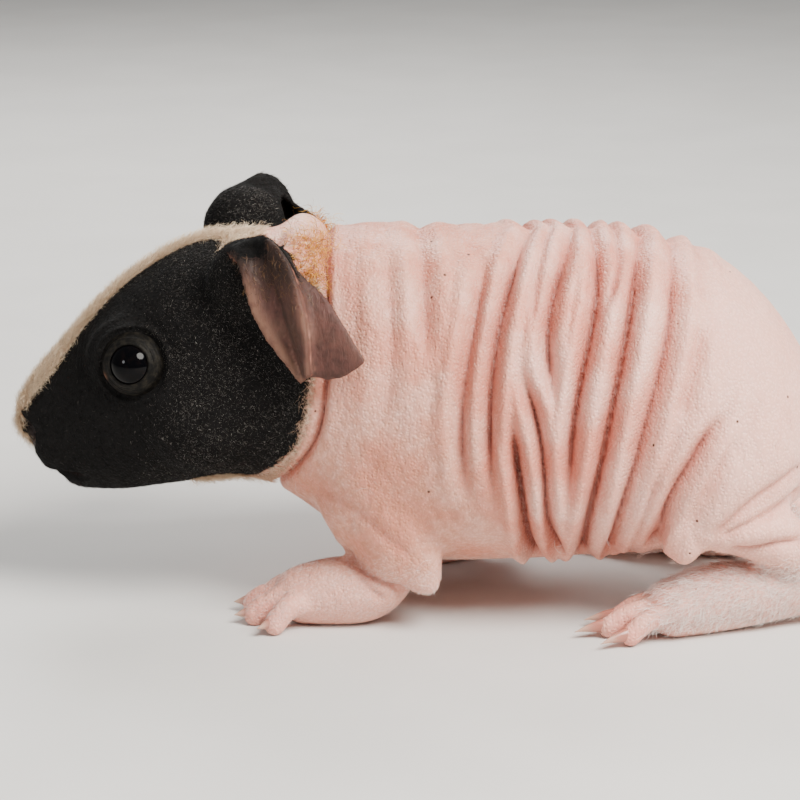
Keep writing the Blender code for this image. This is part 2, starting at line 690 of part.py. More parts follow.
def tube(name, points, radius, collection):
    """A closed tube along a smooth path, for cutting grooves."""
    path = smooth_path(points, 14)
    curve = bpy.data.curves.new(name, "CURVE")
    curve.dimensions = "3D"
    curve.bevel_depth = radius
    curve.bevel_resolution = 1
    curve.use_fill_caps = True
    spline = curve.splines.new("POLY")
    spline.points.add(len(path) - 1)
    for point, place in zip(spline.points, path):
        point.co = (*place, 1.0)
    holder = bpy.data.objects.new(name, curve)
    collection.objects.link(holder)
    graph = bpy.context.evaluated_depsgraph_get()
    builder = bmesh.new()
    builder.from_mesh(bpy.data.meshes.new_from_object(holder.evaluated_get(graph)))
    bmesh.ops.remove_doubles(builder, verts=builder.verts, dist=0.01 * MM)
    bmesh.ops.recalc_face_normals(builder, faces=builder.faces)
    bpy.data.objects.remove(holder)
    cutter = object_from(name, builder, collection)
    cutter.hide_render = True
    cutter.display_type = "WIRE"
    return cutter


def mirrored(points, side):
    return np.asarray(points) * (1, side, 1)


def onto(surface, points):
    """The points moved to the nearest place on an object's surface."""
    return np.array([surface.closest_point_on_mesh(Vector(p))[1] for p in points])


def side_vector(vector, side):
    return Vector((vector.x, side * vector.y, vector.z))


def add_lids(head, side):
    """A raised ring of lid round the eye, fused to the head."""
    centre = side_vector(EYE_CENTRE, side) + side_vector(EYE_AXIS, side) * LID_OFFSET
    turn = Vector((0, 0, 1)).rotation_difference(side_vector(EYE_AXIS, side))
    bpy.ops.mesh.primitive_torus_add(
        major_segments=20, minor_segments=5, major_radius=LID_RADIUS, minor_radius=LID_THICKNESS,
        location=centre, rotation=turn.to_euler())
    ring = bpy.context.object
    ring.data.transform(ring.matrix_world)
    ring.matrix_world = Matrix.Identity(4)
    boolean(head, "UNION", ring)
    bpy.data.objects.remove(ring)


def make_eye(side, parts):
    builder = bmesh.new()
    turn = Vector((0, 0, 1)).rotation_difference(side_vector(EYE_AXIS, side)).to_matrix().to_4x4()
    matrix = Matrix.Translation(side_vector(EYE_CENTRE, side)) @ turn
    bmesh.ops.create_uvsphere(builder, u_segments=18, v_segments=10, radius=EYE_RADIUS, matrix=matrix)
    return object_from(f"eye_{SIDE_NAMES[side]}", builder, parts)


def make_head_details(head, cutters):
    """Lids, sockets, nostrils and the line of the mouth."""
    for side in (LEFT, RIGHT):
        add_lids(head, side)
        builder = bmesh.new()
        matrix = Matrix.Translation(side_vector(EYE_CENTRE, side))
        radius = EYE_RADIUS + GAP
        bmesh.ops.create_uvsphere(builder, u_segments=18, v_segments=12, radius=radius, matrix=matrix)
        socket = object_from(f"socket_{SIDE_NAMES[side]}", builder, cutters)
        socket.hide_render = True
        socket.display_type = "WIRE"
        boolean(head, "DIFFERENCE", socket)
        nostril_path = onto(head, mirrored(NOSTRIL, side))
        nostril = tube(f"nostril_{SIDE_NAMES[side]}", nostril_path, NOSTRIL_RADIUS, cutters)
        boolean(head, "DIFFERENCE", nostril)
    mouth_points = np.vstack([mirrored(MOUTH[:0:-1], LEFT), MOUTH])
    boolean(head, "DIFFERENCE", tube("mouth_line", onto(head, mouth_points), MOUTH_RADIUS, cutters))
    keep_largest(head)


def ear_sheet(side):
    """Points of an ear's sheet, by row from the root and column from the front rim."""
    count = EAR_CELLS + 1
    front, ridge, rear = (smooth_path(edge, count)[:, None] for edge in (EAR_FRONT, EAR_RIDGE, EAR_REAR))
    u = np.linspace(0, 1, count)[None, :, None]
    ahead = u < EAR_RIDGE_AT
    t = np.where(ahead, u / EAR_RIDGE_AT, (u - EAR_RIDGE_AT) / (1 - EAR_RIDGE_AT))
    sheet = np.where(ahead, front + t * (ridge - front), ridge + t * (rear - ridge))
    hang = ramp(np.linspace(0, 1, count), 0.12, 0.45)[:, None]
    dip = EAR_GROOVE * np.sin(np.pi * t) ** 2
    under = EAR_TUCK * np.sin(np.pi * np.sqrt(t)) * (1 - t)
    sheet[:, :, 1] -= hang * np.where(ahead, dip, under)[:, :, 0]
    sheet[:, :, 2] -= hang**4 * np.where(ahead, 0, EAR_HEM * np.sin(np.pi * t))[:, :, 0]
    return sheet * (1, side, 1) + ear_lift(side)


def make_ear(side, parts):
    """The bent sheet of the ear, thickened on both sides."""
    builder = bmesh.new()
    grid = [[builder.verts.new(p) for p in row] for row in ear_sheet(side)]
    for i in range(EAR_CELLS):
        for j in range(EAR_CELLS):
            corners = [grid[i][j], grid[i + 1][j], grid[i + 1][j + 1], grid[i][j + 1]]
            builder.faces.new(corners[::-1] if side == LEFT else corners)
    bmesh.ops.triangulate(builder, faces=builder.faces)
    ear = object_from(f"ear_{SIDE_NAMES[side]}", builder, parts)
    wall = ear.modifiers.new("wall", "SOLIDIFY")
    wall.thickness = EAR_THICKNESS
    wall.offset = 0.0
    apply_modifiers(ear)
    return ear


def fit_ear(ear, nodes, cutters):
    """Cut the ear's root to the head's surface, a thin gap away."""
    for name in ("head", "neck"):
        around = copy_of(nodes[name], f"{name}_skin", cutters)
        around.hide_render = True
        around.display_type = "WIRE"
        set_coordinates(around.data, coordinates(around.data) + normals(around.data) * GAP)
        boolean(ear, "DIFFERENCE", around)
        bpy.data.objects.remove(around)
    keep_largest(ear)


def make_claw(name, root, direction, length, parts):
    """A tapered claw that bends down to its point, flat at its root."""
    builder = bmesh.new()
    aim = Vector(direction).normalized()
    across = aim.cross(Vector((0, 0, 1))).normalized()
    up = across.cross(aim)
    rings = []
    for i in range(CLAW_RINGS):
        t = i / (CLAW_RINGS - 1)
        radius = CLAW_ROOT_RADIUS + (CLAW_TIP_RADIUS - CLAW_ROOT_RADIUS) * t
        centre = Vector(root) + aim * length * t + Vector((0, 0, -0.16 * length * t * t))
        rings.append([
            builder.verts.new(centre + radius * (across * math.cos(a) + up * math.sin(a)))
            for a in (2 * math.pi * k / CLAW_SIDES for k in range(CLAW_SIDES))])
    for lower, upper in zip(rings[:-1], rings[1:]):
        for k in range(CLAW_SIDES):
            n = (k + 1) % CLAW_SIDES
            builder.faces.new((lower[k], lower[n], upper[n], upper[k]))
    builder.faces.new(rings[0][::-1])
    builder.faces.new(rings[-1])
    bmesh.ops.recalc_face_normals(builder, faces=builder.faces)
    for vertex in builder.verts:
        vertex.co.z = max(vertex.co.z, CLAW_LIFT)
    return object_from(name, builder, parts)


def make_claws(nodes, parts, cutters):
    """A claw on each toe; the toe's tip is cut flat where the claw starts."""
    for side in (LEFT, RIGHT):
        fore_shift, hind_shift = leg_shifts(side)
        for kind, foot, toes, root_x, length, shift in (
            ("fore", "fore_paw", FORE_TOES, FORE_TOE_ROOT_X, FORE_CLAW_LENGTH, fore_shift),
            ("hind", "hind_foot", HIND_TOES, HIND_TOE_ROOT_X, HIND_CLAW_LENGTH, hind_shift),
        ):
            foot_node = nodes[f"{foot}_{SIDE_NAMES[side]}"]
            for number, (root_y, tip_x, tip_y, radius) in enumerate(toes, 1):
                run = Vector((tip_x - root_x, side * (tip_y - root_y), 0)).normalized()
                tip = Vector((tip_x + shift, side * tip_y, TOE_TIP_Z + 0.35 * MM))
                root = tip + run * radius * 0.45
                claw = make_claw(f"claw_{kind}_{SIDE_NAMES[side]}_{number}", root, run, length, parts)
                builder = bmesh.new()
                size = 3 * radius
                place = Matrix.Translation(root + run * (0.5 * size - GAP) + Vector((0, 0, 0.6 * radius)))
                turn = run.to_track_quat("X", "Z").to_matrix().to_4x4()
                bmesh.ops.create_cube(builder, size=size, matrix=place @ turn)
                block = object_from(f"{claw.name}_seat", builder, cutters)
                block.hide_render = True
                block.display_type = "WIRE"
                boolean(foot_node, "DIFFERENCE", block)
                nodes[claw.name] = claw
            keep_largest(foot_node)


def cut_soles(flesh, cutters):
    """Cut everything below the floor away, which leaves a flat under each foot."""
    builder = bmesh.new()
    place = Matrix.Translation((0, 0, -FAR)) @ Matrix.Diagonal((4.0, 4.0, 2.0, 1.0))
    bmesh.ops.create_cube(builder, size=FAR, matrix=place)
    floor = object_from("floor_cut", builder, cutters)
    floor.hide_render = True
    floor.display_type = "WIRE"
    boolean(flesh, "DIFFERENCE", floor)


def main():
    clear_scene()
    parts = new_collection(OBJECT_NAME)
    cutters = new_collection("cutters")
    flesh = make_flesh(cutters)
    flesh.hide_render = True
    flesh.display_type = "WIRE"
    cut_soles(flesh, cutters)
    nodes = part_flesh(flesh, parts, cutters)
    make_head_details(nodes["head"], cutters)
    for side in (LEFT, RIGHT):
        nodes[f"eye_{SIDE_NAMES[side]}"] = make_eye(side, parts)
        ear = make_ear(side, parts)
        fit_ear(ear, nodes, cutters)
        nodes[ear.name] = ear
    make_claws(nodes, parts, cutters)
    for helper in list(cutters.objects):
        bpy.data.objects.remove(helper)
    for name, node in nodes.items():
        if name.startswith("eye"):
            node.data.materials.append(new_material(name, BLACK_FUR, 0.05))
        elif name.startswith("ear"):
            node.data.materials.append(new_material(name, EAR_BROWN, 0.6))
        elif name.startswith("claw"):
            node.data.materials.append(new_material(name, CLAW_HORN, 0.35))
        elif name == "head":
            node.data.materials.append(new_material(name, BLACK_FUR, 0.8))
        elif name.startswith(("fore_paw", "hind_foot")):
            node.data.materials.append(new_material(name, PALE_PINK, 0.55))
        else:
            node.data.materials.append(new_material(name, PINK, 0.5))


main()
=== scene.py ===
"""The looks of a life-size skinny pig pup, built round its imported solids.

One skin replaces the nodes of flesh. Lids, eyes and claws are separate pieces, and the
velvet of the head, the blaze, the gold hair of the nape and the down of the body and
feet are thin hairs rooted in the skin. The nose points to -X and the camera looks
along +Y.
"""

from __future__ import annotations

import json
import logging
import math
from dataclasses import dataclass, field
from enum import Enum

import bmesh
import bpy
import numpy as np
from mathutils import Matrix, Vector

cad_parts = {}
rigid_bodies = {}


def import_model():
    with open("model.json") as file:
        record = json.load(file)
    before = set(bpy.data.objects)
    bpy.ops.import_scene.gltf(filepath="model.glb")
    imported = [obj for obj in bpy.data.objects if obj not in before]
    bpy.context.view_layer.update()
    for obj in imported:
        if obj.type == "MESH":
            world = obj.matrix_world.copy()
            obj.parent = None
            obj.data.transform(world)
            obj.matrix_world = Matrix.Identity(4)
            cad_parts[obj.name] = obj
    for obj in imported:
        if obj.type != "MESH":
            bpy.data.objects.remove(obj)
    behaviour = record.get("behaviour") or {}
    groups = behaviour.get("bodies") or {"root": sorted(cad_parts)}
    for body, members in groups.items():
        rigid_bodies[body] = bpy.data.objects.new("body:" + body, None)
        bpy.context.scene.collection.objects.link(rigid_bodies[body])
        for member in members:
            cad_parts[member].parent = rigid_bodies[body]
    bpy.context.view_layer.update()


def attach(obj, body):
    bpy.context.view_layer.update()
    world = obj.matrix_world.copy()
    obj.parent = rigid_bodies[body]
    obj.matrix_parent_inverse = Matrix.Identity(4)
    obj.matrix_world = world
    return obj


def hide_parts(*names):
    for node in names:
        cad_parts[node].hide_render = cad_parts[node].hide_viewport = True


LOG = logging.getLogger("skinny_pig")
MM = 0.001
BODY = "root"
BAKE_MAP = "OFBake"
Array = np.ndarray
Obj = bpy.types.Object
Socket = bpy.types.NodeSocket
Triple = tuple[float, float, float]


class Side(Enum):
    """The two sides of the animal; the value is the sign of Y."""

    LEFT = -1
    RIGHT = 1

    @property
    def word(self) -> str:
        """Name of the side as the nodes spell it."""
        return self.name.lower()


# Small helpers


def deselect_all() -> None:
    """Leave no object selected."""
    for obj in bpy.context.view_layer.objects:
        obj.select_set(False)


def activate(obj: Obj) -> None:
    """Make one object the only selected and the active one.

    Args:
        obj: The object to work on.
    """
    deselect_all()
    obj.select_set(True)
    bpy.context.view_layer.objects.active = obj


def apply_modifier(obj: Obj, kind: str, **settings: object) -> None:
    """Add a modifier with its settings and apply it.

    Args:
        obj: The object to change.
        kind: Blender's modifier type.
        settings: Attributes of the modifier and their values.
    """
    activate(obj)
    modifier = obj.modifiers.new(kind.lower(), kind)
    for name, value in settings.items():
        setattr(modifier, name, value)
    bpy.ops.object.modifier_apply(modifier=modifier.name)


def settle(obj: Obj) -> None:
    """Move an object's place, turn and scale into its mesh."""
    activate(obj)
    bpy.ops.object.transform_apply(location=True, rotation=True, scale=True)


def read_points(mesh: bpy.types.Mesh, what: str = "co") -> Array:
    """Coordinates or normals of a mesh's vertices, one row each.

    Args:
        mesh: The mesh to read.
        what: What to read: co for coordinates, normal for normals.

    Returns:
        One row a vertex.
    """
    values = np.empty(len(mesh.vertices) * 3)
    mesh.vertices.foreach_get(what, values)
    return values.reshape(-1, 3)


def write_points(mesh: bpy.types.Mesh, points: Array) -> None:
    """Set the coordinates of a mesh's vertices."""
    mesh.vertices.foreach_set("co", points.ravel())
    mesh.update()


def write_attribute(mesh: bpy.types.Mesh, name: str, values: Array) -> None:
    """Store one number a vertex on a mesh."""
    layer = mesh.attributes.new(name, "FLOAT", "POINT")
    layer.data.foreach_set("value", np.clip(values, 0, 1).astype(np.float32))


def in_mm(*rows: tuple) -> Array:
    """A dataclass field that holds a table, given in millimetres."""
    return field(default_factory=lambda: MM * np.array(rows))


def smooth_curve(knots: Array, values: Array, at: Array) -> Array:
    """Natural cubic spline through rows of values.

    Args:
        knots: Where the rows stand, in rising order.
        values: One row for each knot.
        at: Where to read the curve.

    Returns:
        One row for each place read.
    """
    knots = np.asarray(knots, float)
    values = np.asarray(values, float).reshape(len(knots), -1)
    steps = np.diff(knots)
    slopes = np.diff(values, axis=0) / steps[:, None]
    system = np.eye(len(knots))
    right = np.zeros_like(values)
    for i in range(1, len(knots) - 1):
        system[i, i - 1:i + 2] = steps[i - 1], 2 * (steps[i - 1] + steps[i]), steps[i]
        right[i] = 6 * (slopes[i] - slopes[i - 1])
    bends = np.linalg.solve(system, right)
    at = np.clip(np.atleast_1d(at), knots[0], knots[-1])
    span = np.clip(np.searchsorted(knots, at) - 1, 0, len(steps) - 1)
    h = steps[span][:, None]
    a = (knots[span + 1] - at)[:, None] / h
    b = 1 - a
    bent = ((a**3 - a) * bends[span] + (b**3 - b) * bends[span + 1]) * h * h / 6
    return a * values[span] + b * values[span + 1] + bent


def smooth_path(points: Array, count: int) -> Array:
    """Points spaced along a smooth curve through the given ones.

    Args:
        points: One row each: a place, then any sizes that change along the curve.
        count: How many points to give.

    Returns:
        The points, with their sizes, one row each.
    """
    points = np.asarray(points, float)
    runs = np.linalg.norm(np.diff(points[:, :3], axis=0), axis=1)
    along = np.concatenate([[0], np.cumsum(runs)])
    return smooth_curve(along, points, np.linspace(0, along[-1], count))


def bell(distance: Array, width: float) -> Array:
    """A soft bump of height 1 round zero distance."""
    return np.exp(-((distance / width) ** 2))


def ramp(value: Array, low: float, high: float) -> Array:
    """0 below low, 1 above high, with soft ends."""
    t = np.clip((value - low) / (high - low), 0, 1)
    return t * t * (3 - 2 * t)


def path_distance(points: Array, path: Array) -> tuple[Array, Array]:
    """Distance of points to a path.

    Args:
        points: One point a row.
        path: Corners of the path, one a row.

    Returns:
        The distances, and how far along the path (0 to 1) each nearest place is.
    """
    steps = np.diff(path, axis=0)
    lengths = np.linalg.norm(steps, axis=1)
    starts = np.concatenate([[0], np.cumsum(lengths)])
    nearest = np.full(len(points), np.inf)
    along = np.zeros(len(points))
    for start, step, length, begun in zip(path[:-1], steps, lengths, starts[:-1]):
        offset = points - start
        part = np.clip(offset @ step / length**2, 0, 1)
        distance = np.linalg.norm(offset - part[:, None] * step, axis=1)
        closer = distance < nearest
        nearest = np.where(closer, distance, nearest)
        along = np.where(closer, (begun + part * length) / starts[-1], along)
    return nearest, along


# The form of the pup, in the sizes of its solids


@dataclass
class BodyForm:
    """Sizes of the head and trunk."""

    nose: tuple[float, float] = (-64.9 * MM, 29.3 * MM)
    rump: tuple[float, float] = (64.6 * MM, 29.0 * MM)
    upper_squareness: float = 2.1
    lower_squareness: float = 2.25
    # Rows: place along the body, back, belly, half width, height where it is widest
    sections: Array = in_mm(
        (-63.6, 33.2, 26.8, 4.6, 29.6), (-60.4, 37.8, 23.9, 6.8, 29.4), (-56.4, 42.4, 19.4, 8.8, 29.0),
        (-50.0, 49.6, 17.4, 11.6, 30.5), (-43.0, 55.0, 18.3, 14.3, 32.5),
        (-35.0, 59.0, 19.8, 16.8, 34.0), (-26.0, 59.9, 20.3, 18.2, 36.0),
        (-18.0, 60.4, 15.8, 19.3, 35.0), (-9.5, 60.6, 9.8, 22.4, 32.0), (4.5, 60.1, 7.2, 25.6, 30.0),
        (20.0, 60.5, 7.8, 26.8, 30.5), (36.0, 59.3, 9.0, 27.2, 30.5), (45.0, 56.2, 10.6, 26.6, 30.0),
        (53.0, 50.4, 12.8, 22.6, 29.5), (59.5, 42.2, 16.4, 16.4, 29.0), (63.2, 35.0, 21.4, 9.0, 28.5),
    )

    def angle(self, x: Array) -> Array:
        """Angle from the nose tip (0) to the rump (pi) of places along the body."""
        length = self.rump[0] - self.nose[0]
        return np.arccos(np.clip(1 - 2 * (np.asarray(x) - self.nose[0]) / length, -1, 1))

    def sizes(self, x: Array) -> Array:
        """Back, belly, half width and widest height at places along the body.

        Args:
            x: Places along the body.

        Returns:
            Four rows, with one value for each place.
        """
        nose = (self.nose[1], self.nose[1], 0, self.nose[1])
        rump = (self.rump[1], self.rump[1], 0, self.rump[1])
        knots = np.concatenate([[0], self.angle(self.sections[:, 0]), [math.pi]])
        return smooth_curve(knots, np.vstack([nose, self.sections[:, 1:], rump]), self.angle(x)).T

    def point(self, x: Array, roll: Array) -> Array:
        """Points of the surface; roll is 0 at +Y and a quarter turn at the back.

        Args:
            x: Places along the body.
            roll: Angles round it.

        Returns:
            The points, one row each.
        """
        back, belly, half_width, widest = self.sizes(x)
        rise, out = np.sin(roll), np.cos(roll)
        square = np.where(rise > 0, self.upper_squareness, self.lower_squareness)
        height = np.where(rise > 0, back - widest, widest - belly)
        y = half_width * np.sign(out) * np.abs(out) ** (2 / square)
        z = widest + height * np.sign(rise) * np.abs(rise) ** (2 / square)
        return np.stack([np.asarray(x) + 0 * y, y, z], axis=-1)

    def flank_point(self, x: Array, turn: Array, side: Side) -> Array:
        """Points of the surface by their turn from the spine (0) to the belly (1).

        Args:
            x: Places along the body.
            turn: Turns from the spine.
            side: Side of the body.

        Returns:
            The points, one row each.
        """
        roll = math.pi / 2 - np.asarray(turn) * math.pi
        point = self.point(np.atleast_1d(x), np.atleast_1d(roll))
        point[:, 1] *= side.value
        return point


@dataclass
class LimbForm:
    """Sizes of the legs, feet and toes, with the rounded masses that they grow from."""

    far_fore_shift: float = 16.5 * MM
    far_hind_shift: float = 0.6 * MM
    # Share of its shift that a foreleg takes: the least at the shoulder, all of it at the paw
    least_shift: float = 0.3
    shift_top: float = 20 * MM
    shift_span: float = 16 * MM
    toe_tip_z: float = 1.6 * MM
    knuckle_rise: float = 1.2 * MM
    # Shares of a toe's radius
    toe_root_size: float = 1.1
    toe_tip_width: float = 0.9
    toe_tip_height: float = 0.95
    # Centre and half sizes
    masses: Array = in_mm(
        ((-33.0, 9.8, 32.4), (13.0, 8.6, 9.8)), ((-57.2, 4.2, 26.2), (4.9, 4.4, 4.9)),
        ((-45.4, 8.6, 41.6), (7.6, 4.9, 7.0)), ((-19.0, 5.0, 55.0), (4.6, 9.0, 6.6)),
        ((-53.6, 1.5, 20.6), (4.6, 3.6, 3.2)), ((-5.0, 13.6, 25.0), (12.5, 9.6, 16.0)),
        ((45.0, 14.8, 27.5), (14.5, 11.4, 14.5)),
    )
    # Rows of limbs: centre, half width, half height
    foreleg: Array = in_mm(
        (-5.5, 14.5, 20.0, 8.5, 9.0), (-3.8, 16.4, 14.0, 6.6, 6.0), (-4.8, 16.6, 9.5, 4.8, 4.4),
        (-7.5, 15.8, 6.2, 4.9, 5.0), (-12.5, 14.6, 4.9, 6.0, 5.4), (-18.0, 13.8, 4.0, 6.2, 4.6),
    )
    elbow_flap: Array = in_mm(
        (-3.0, 18.0, 14.0, 4.0, 5.0), (0.2, 19.6, 10.8, 3.0, 3.4), (0.8, 20.6, 8.5, 2.2, 2.2),
    )
    sleeve_hem: Array = in_mm(
        (-12.4, 13.4, 13.2, 1.7, 1.5), (-7.6, 17.4, 10.7, 1.7, 1.5), (-3.4, 19.8, 9.1, 1.8, 1.6),
        (0.2, 20.8, 8.2, 1.8, 1.8),
    )
    hindleg: Array = in_mm(
        (46.0, 17.0, 26.0, 10.0, 10.0), (46.0, 20.0, 20.0, 6.6, 6.4), (52.5, 18.6, 16.2, 5.4, 5.0),
        (59.2, 15.0, 10.2, 4.2, 5.0),
    )
    hindfoot: Array = in_mm(
        (60.0, 14.4, 6.2, 4.4, 5.2), (53.0, 16.4, 5.2, 4.8, 5.0), (46.0, 18.4, 4.9, 5.0, 5.4),
        (39.5, 20.4, 3.9, 5.0, 4.5),
    )
    flank_flap: Array = in_mm(
        (40.8, 20.8, 19.0, 4.6, 4.6), (40.6, 22.4, 15.8, 3.2, 3.2), (40.4, 23.0, 13.7, 2.2, 2.2),
    )
    fore_toe_root: tuple[float, float] = (-18.3 * MM, 4.0 * MM)
    hind_toe_root: tuple[float, float] = (38.5 * MM, 3.6 * MM)
    # Rows of toes: Y of the root, X and Y of the tip, radius
    fore_toes: Array = in_mm(
        (10.4, -24.4, 7.4, 1.85), (12.8, -26.6, 11.4, 2.1), (15.8, -26.2, 16.6, 2.1),
        (18.4, -22.9, 21.4, 1.9),
    )
    hind_toes: Array = in_mm(
        (17.6, 30.8, 18.0, 1.75), (20.6, 29.0, 22.6, 1.85), (23.4, 32.2, 26.6, 1.75),
    )

    def shifts(self, side: Side) -> tuple[float, float]:
        """How far the fore and hind foot of a side are set back."""
        return (0.0, 0.0) if side is Side.LEFT else (self.far_fore_shift, self.far_hind_shift)

    def toe_rows(self, root: tuple[float, float], toe: Array) -> Array:
        """Rows of one toe from its root over the knuckle to its tip.

        Args:
            root: X and Z of the toe's root.
            toe: The toe's row of sizes.

        Returns:
            Three rows, each with a centre, a half width and a half height.
        """
        root_y, tip_x, tip_y, radius = toe
        middle = (0.5 * (root[0] + tip_x), 0.5 * (root_y + tip_y))
        knuckle_z = 0.5 * (root[1] + self.toe_tip_z) + self.knuckle_rise
        at_root = radius * self.toe_root_size
        return np.array([
            (root[0], root_y, root[1], at_root, at_root),
            (*middle, knuckle_z, radius, radius),
            (tip_x, tip_y, self.toe_tip_z, radius * self.toe_tip_width, radius * self.toe_tip_height),
        ])

    def chains(self, side: Side) -> list[Array]:
        """Every chain of rows of one side, in its place along the body.

        Args:
            side: Whose limbs.

        Returns:
            One table of rows for each chain.
        """
        fore, hind = self.shifts(side)
        chains = []
        for rows in (self.foreleg, self.elbow_flap, self.sleeve_hem):
            share = np.clip((self.shift_top - rows[:, 2]) / self.shift_span, self.least_shift, 1.0)
            chains.append((rows, fore * share))
        chains += [(rows, hind) for rows in (self.hindleg, self.hindfoot, self.flank_flap)]
        chains += [(self.toe_rows(self.fore_toe_root, toe), fore) for toe in self.fore_toes]
        chains += [(self.toe_rows(self.hind_toe_root, toe), hind) for toe in self.hind_toes]
        return [rows + np.outer(shift * np.ones(len(rows)), (1, 0, 0, 0, 0)) for rows, shift in chains]


@dataclass
class EarForm:
    """The bent sheet of an ear, from its root over its arch and down to its free edge.

    Each edge is a path of the ear at +Y, root first. A groove lies between the front
    rim and the ridge, and the rear flap comes out from under the ridge.
    """

    thickness: float = 1.05 * MM
    cells: int = 36
    ridge_at: float = 0.5
    groove: float = 2.0 * MM
    tuck: float = 2.2 * MM
    hem: float = 1.7 * MM
    far_lift: Vector = field(default_factory=lambda: Vector((-2.2, 0.0, 2.6)) * MM)
    base: tuple[Vector, Vector] = (Vector((-26.4, 12.6, 54.8)) * MM, Vector((7.2, 5.2, 7.0)) * MM)
    front: Array = in_mm(
        (-29.0, 10.5, 56.0), (-29.6, 14.0, 60.2), (-28.0, 18.6, 58.1),
        (-26.3, 20.4, 52.6), (-23.4, 21.6, 47.2), (-18.3, 22.6, 40.9),
    )
    ridge: Array = in_mm(
        (-24.5, 10.5, 58.0), (-24.8, 16.0, 62.4), (-21.3, 21.2, 61.0),
        (-19.1, 24.0, 56.4), (-17.8, 25.2, 49.9), (-17.4, 24.9, 42.4),
    )
    rear: Array = in_mm(
        (-20.0, 10.5, 56.0), (-20.2, 14.8, 59.2), (-18.9, 18.2, 57.6),
        (-15.2, 20.8, 54.8), (-11.6, 22.8, 49.8), (-8.5, 24.2, 44.9),
    )

    def grid(self, side: Side) -> Array:
        """Points of the sheet, by row from the root and column from the front rim.

        Args:
            side: Whose ear.

        Returns:
            Coordinates, by row and column.
        """
        count = self.cells + 1
        front, ridge, rear = (smooth_path(edge, count)[:, None]
                              for edge in (self.front, self.ridge, self.rear))
        u = np.linspace(0, 1, count)[None, :, None]
        ahead = u < self.ridge_at
        t = np.where(ahead, u / self.ridge_at, (u - self.ridge_at) / (1 - self.ridge_at))
        sheet = np.where(ahead, front + t * (ridge - front), ridge + t * (rear - ridge))
        hang = ramp(np.linspace(0, 1, count), 0.12, 0.45)[:, None]
        dip = self.groove * np.sin(np.pi * t) ** 2
        under = self.tuck * np.sin(np.pi * np.sqrt(t)) * (1 - t)
        sheet[:, :, 1] -= hang * np.where(ahead, dip, under)[:, :, 0]
        sheet[:, :, 2] -= hang**4 * np.where(ahead, 0, self.hem * np.sin(np.pi * t))[:, :, 0]
        return sheet * (1, side.value, 1) + self.lift(side)

    def lift(self, side: Side) -> Array:
        """How far the ear of a side is moved with the tilt of the head."""
        return np.array(self.far_lift) if side is Side.RIGHT else np.zeros(3)


@dataclass
class EyeForm:
    """Place and sizes of the eyes and lids, for the side at +Y."""

    centre: Vector = field(default_factory=lambda: Vector((-44.7, 11.3, 41.0)) * MM)
    axis: Vector = field(default_factory=lambda: Vector((-0.22, 0.95, 0.2)).normalized())
    radius: float = 4.1 * MM
    opening: float = 3.05 * MM
    socket: float = 3.5 * MM
    socket_depth: float = 1.3 * MM
    lid_rise: float = 0.5 * MM
    lid_reach: float = 5.9 * MM
    brow: float = 7.0 * MM
    brow_depth: float = 0.36 * MM
    # Rings of folds: distance from the eye's axis, height and width in millimetres
    rings: tuple[Triple, ...] = ((5.35, -0.34, 0.38), (6.15, 0.20, 0.50))

    def on(self, side: Side) -> tuple[Vector, Vector]:
        """Centre and outward axis of the eye of one side."""
        turn = Vector((1, side.value, 1))
        return self.centre * turn, self.axis * turn

    def turn(self, side: Side) -> Matrix:
        """Rotation that brings +Z onto the eye's axis, with +X kept along the head.

        Args:
            side: Whose eye.

        Returns:
            The rotation.
        """
        axis = self.on(side)[1]
        across = Vector((1, 0, 0)) - axis * axis.x
        across.normalize()
        return Matrix((across, axis.cross(across), axis)).transposed()


@dataclass
class MuzzleForm:
    """Nostrils and mouth of the side at +Y, and the groove between them."""

    nostril: Array = in_mm(
        (-62.9, 2.7, 29.9), (-61.9, 4.3, 29.2), (-61.3, 5.0, 28.0), (-61.9, 4.9, 26.8),
    )
    philtrum: Array = in_mm(
        (-64.6, 0.0, 28.2), (-63.6, 0.0, 26.0), (-61.6, 0.0, 23.4),
    )
    mouth: Array = in_mm(
        (-61.2, -0.4, 22.7), (-60.4, 1.8, 22.0), (-59.2, 4.2, 21.3), (-56.6, 6.8, 20.5), (-53.4, 8.6, 20.7),
    )
    whisker_pad: Triple = (-58.6 * MM, 5.6 * MM, 25.0 * MM)
    pad_rise: float = 0.45 * MM
    pad_size: float = 2.4 * MM
    # Depth and half width in millimetres, share of the path that fades at its ends, bank
    nostril_cut: tuple = (1.25, 0.55, (0.1, 0.2), 0.3)
    mouth_cut: tuple = (1.0, 0.55, (0.0, 0.2), 0.45)
    philtrum_cut: tuple = (0.8, 0.5, (0.15, 0.0), 0.35)


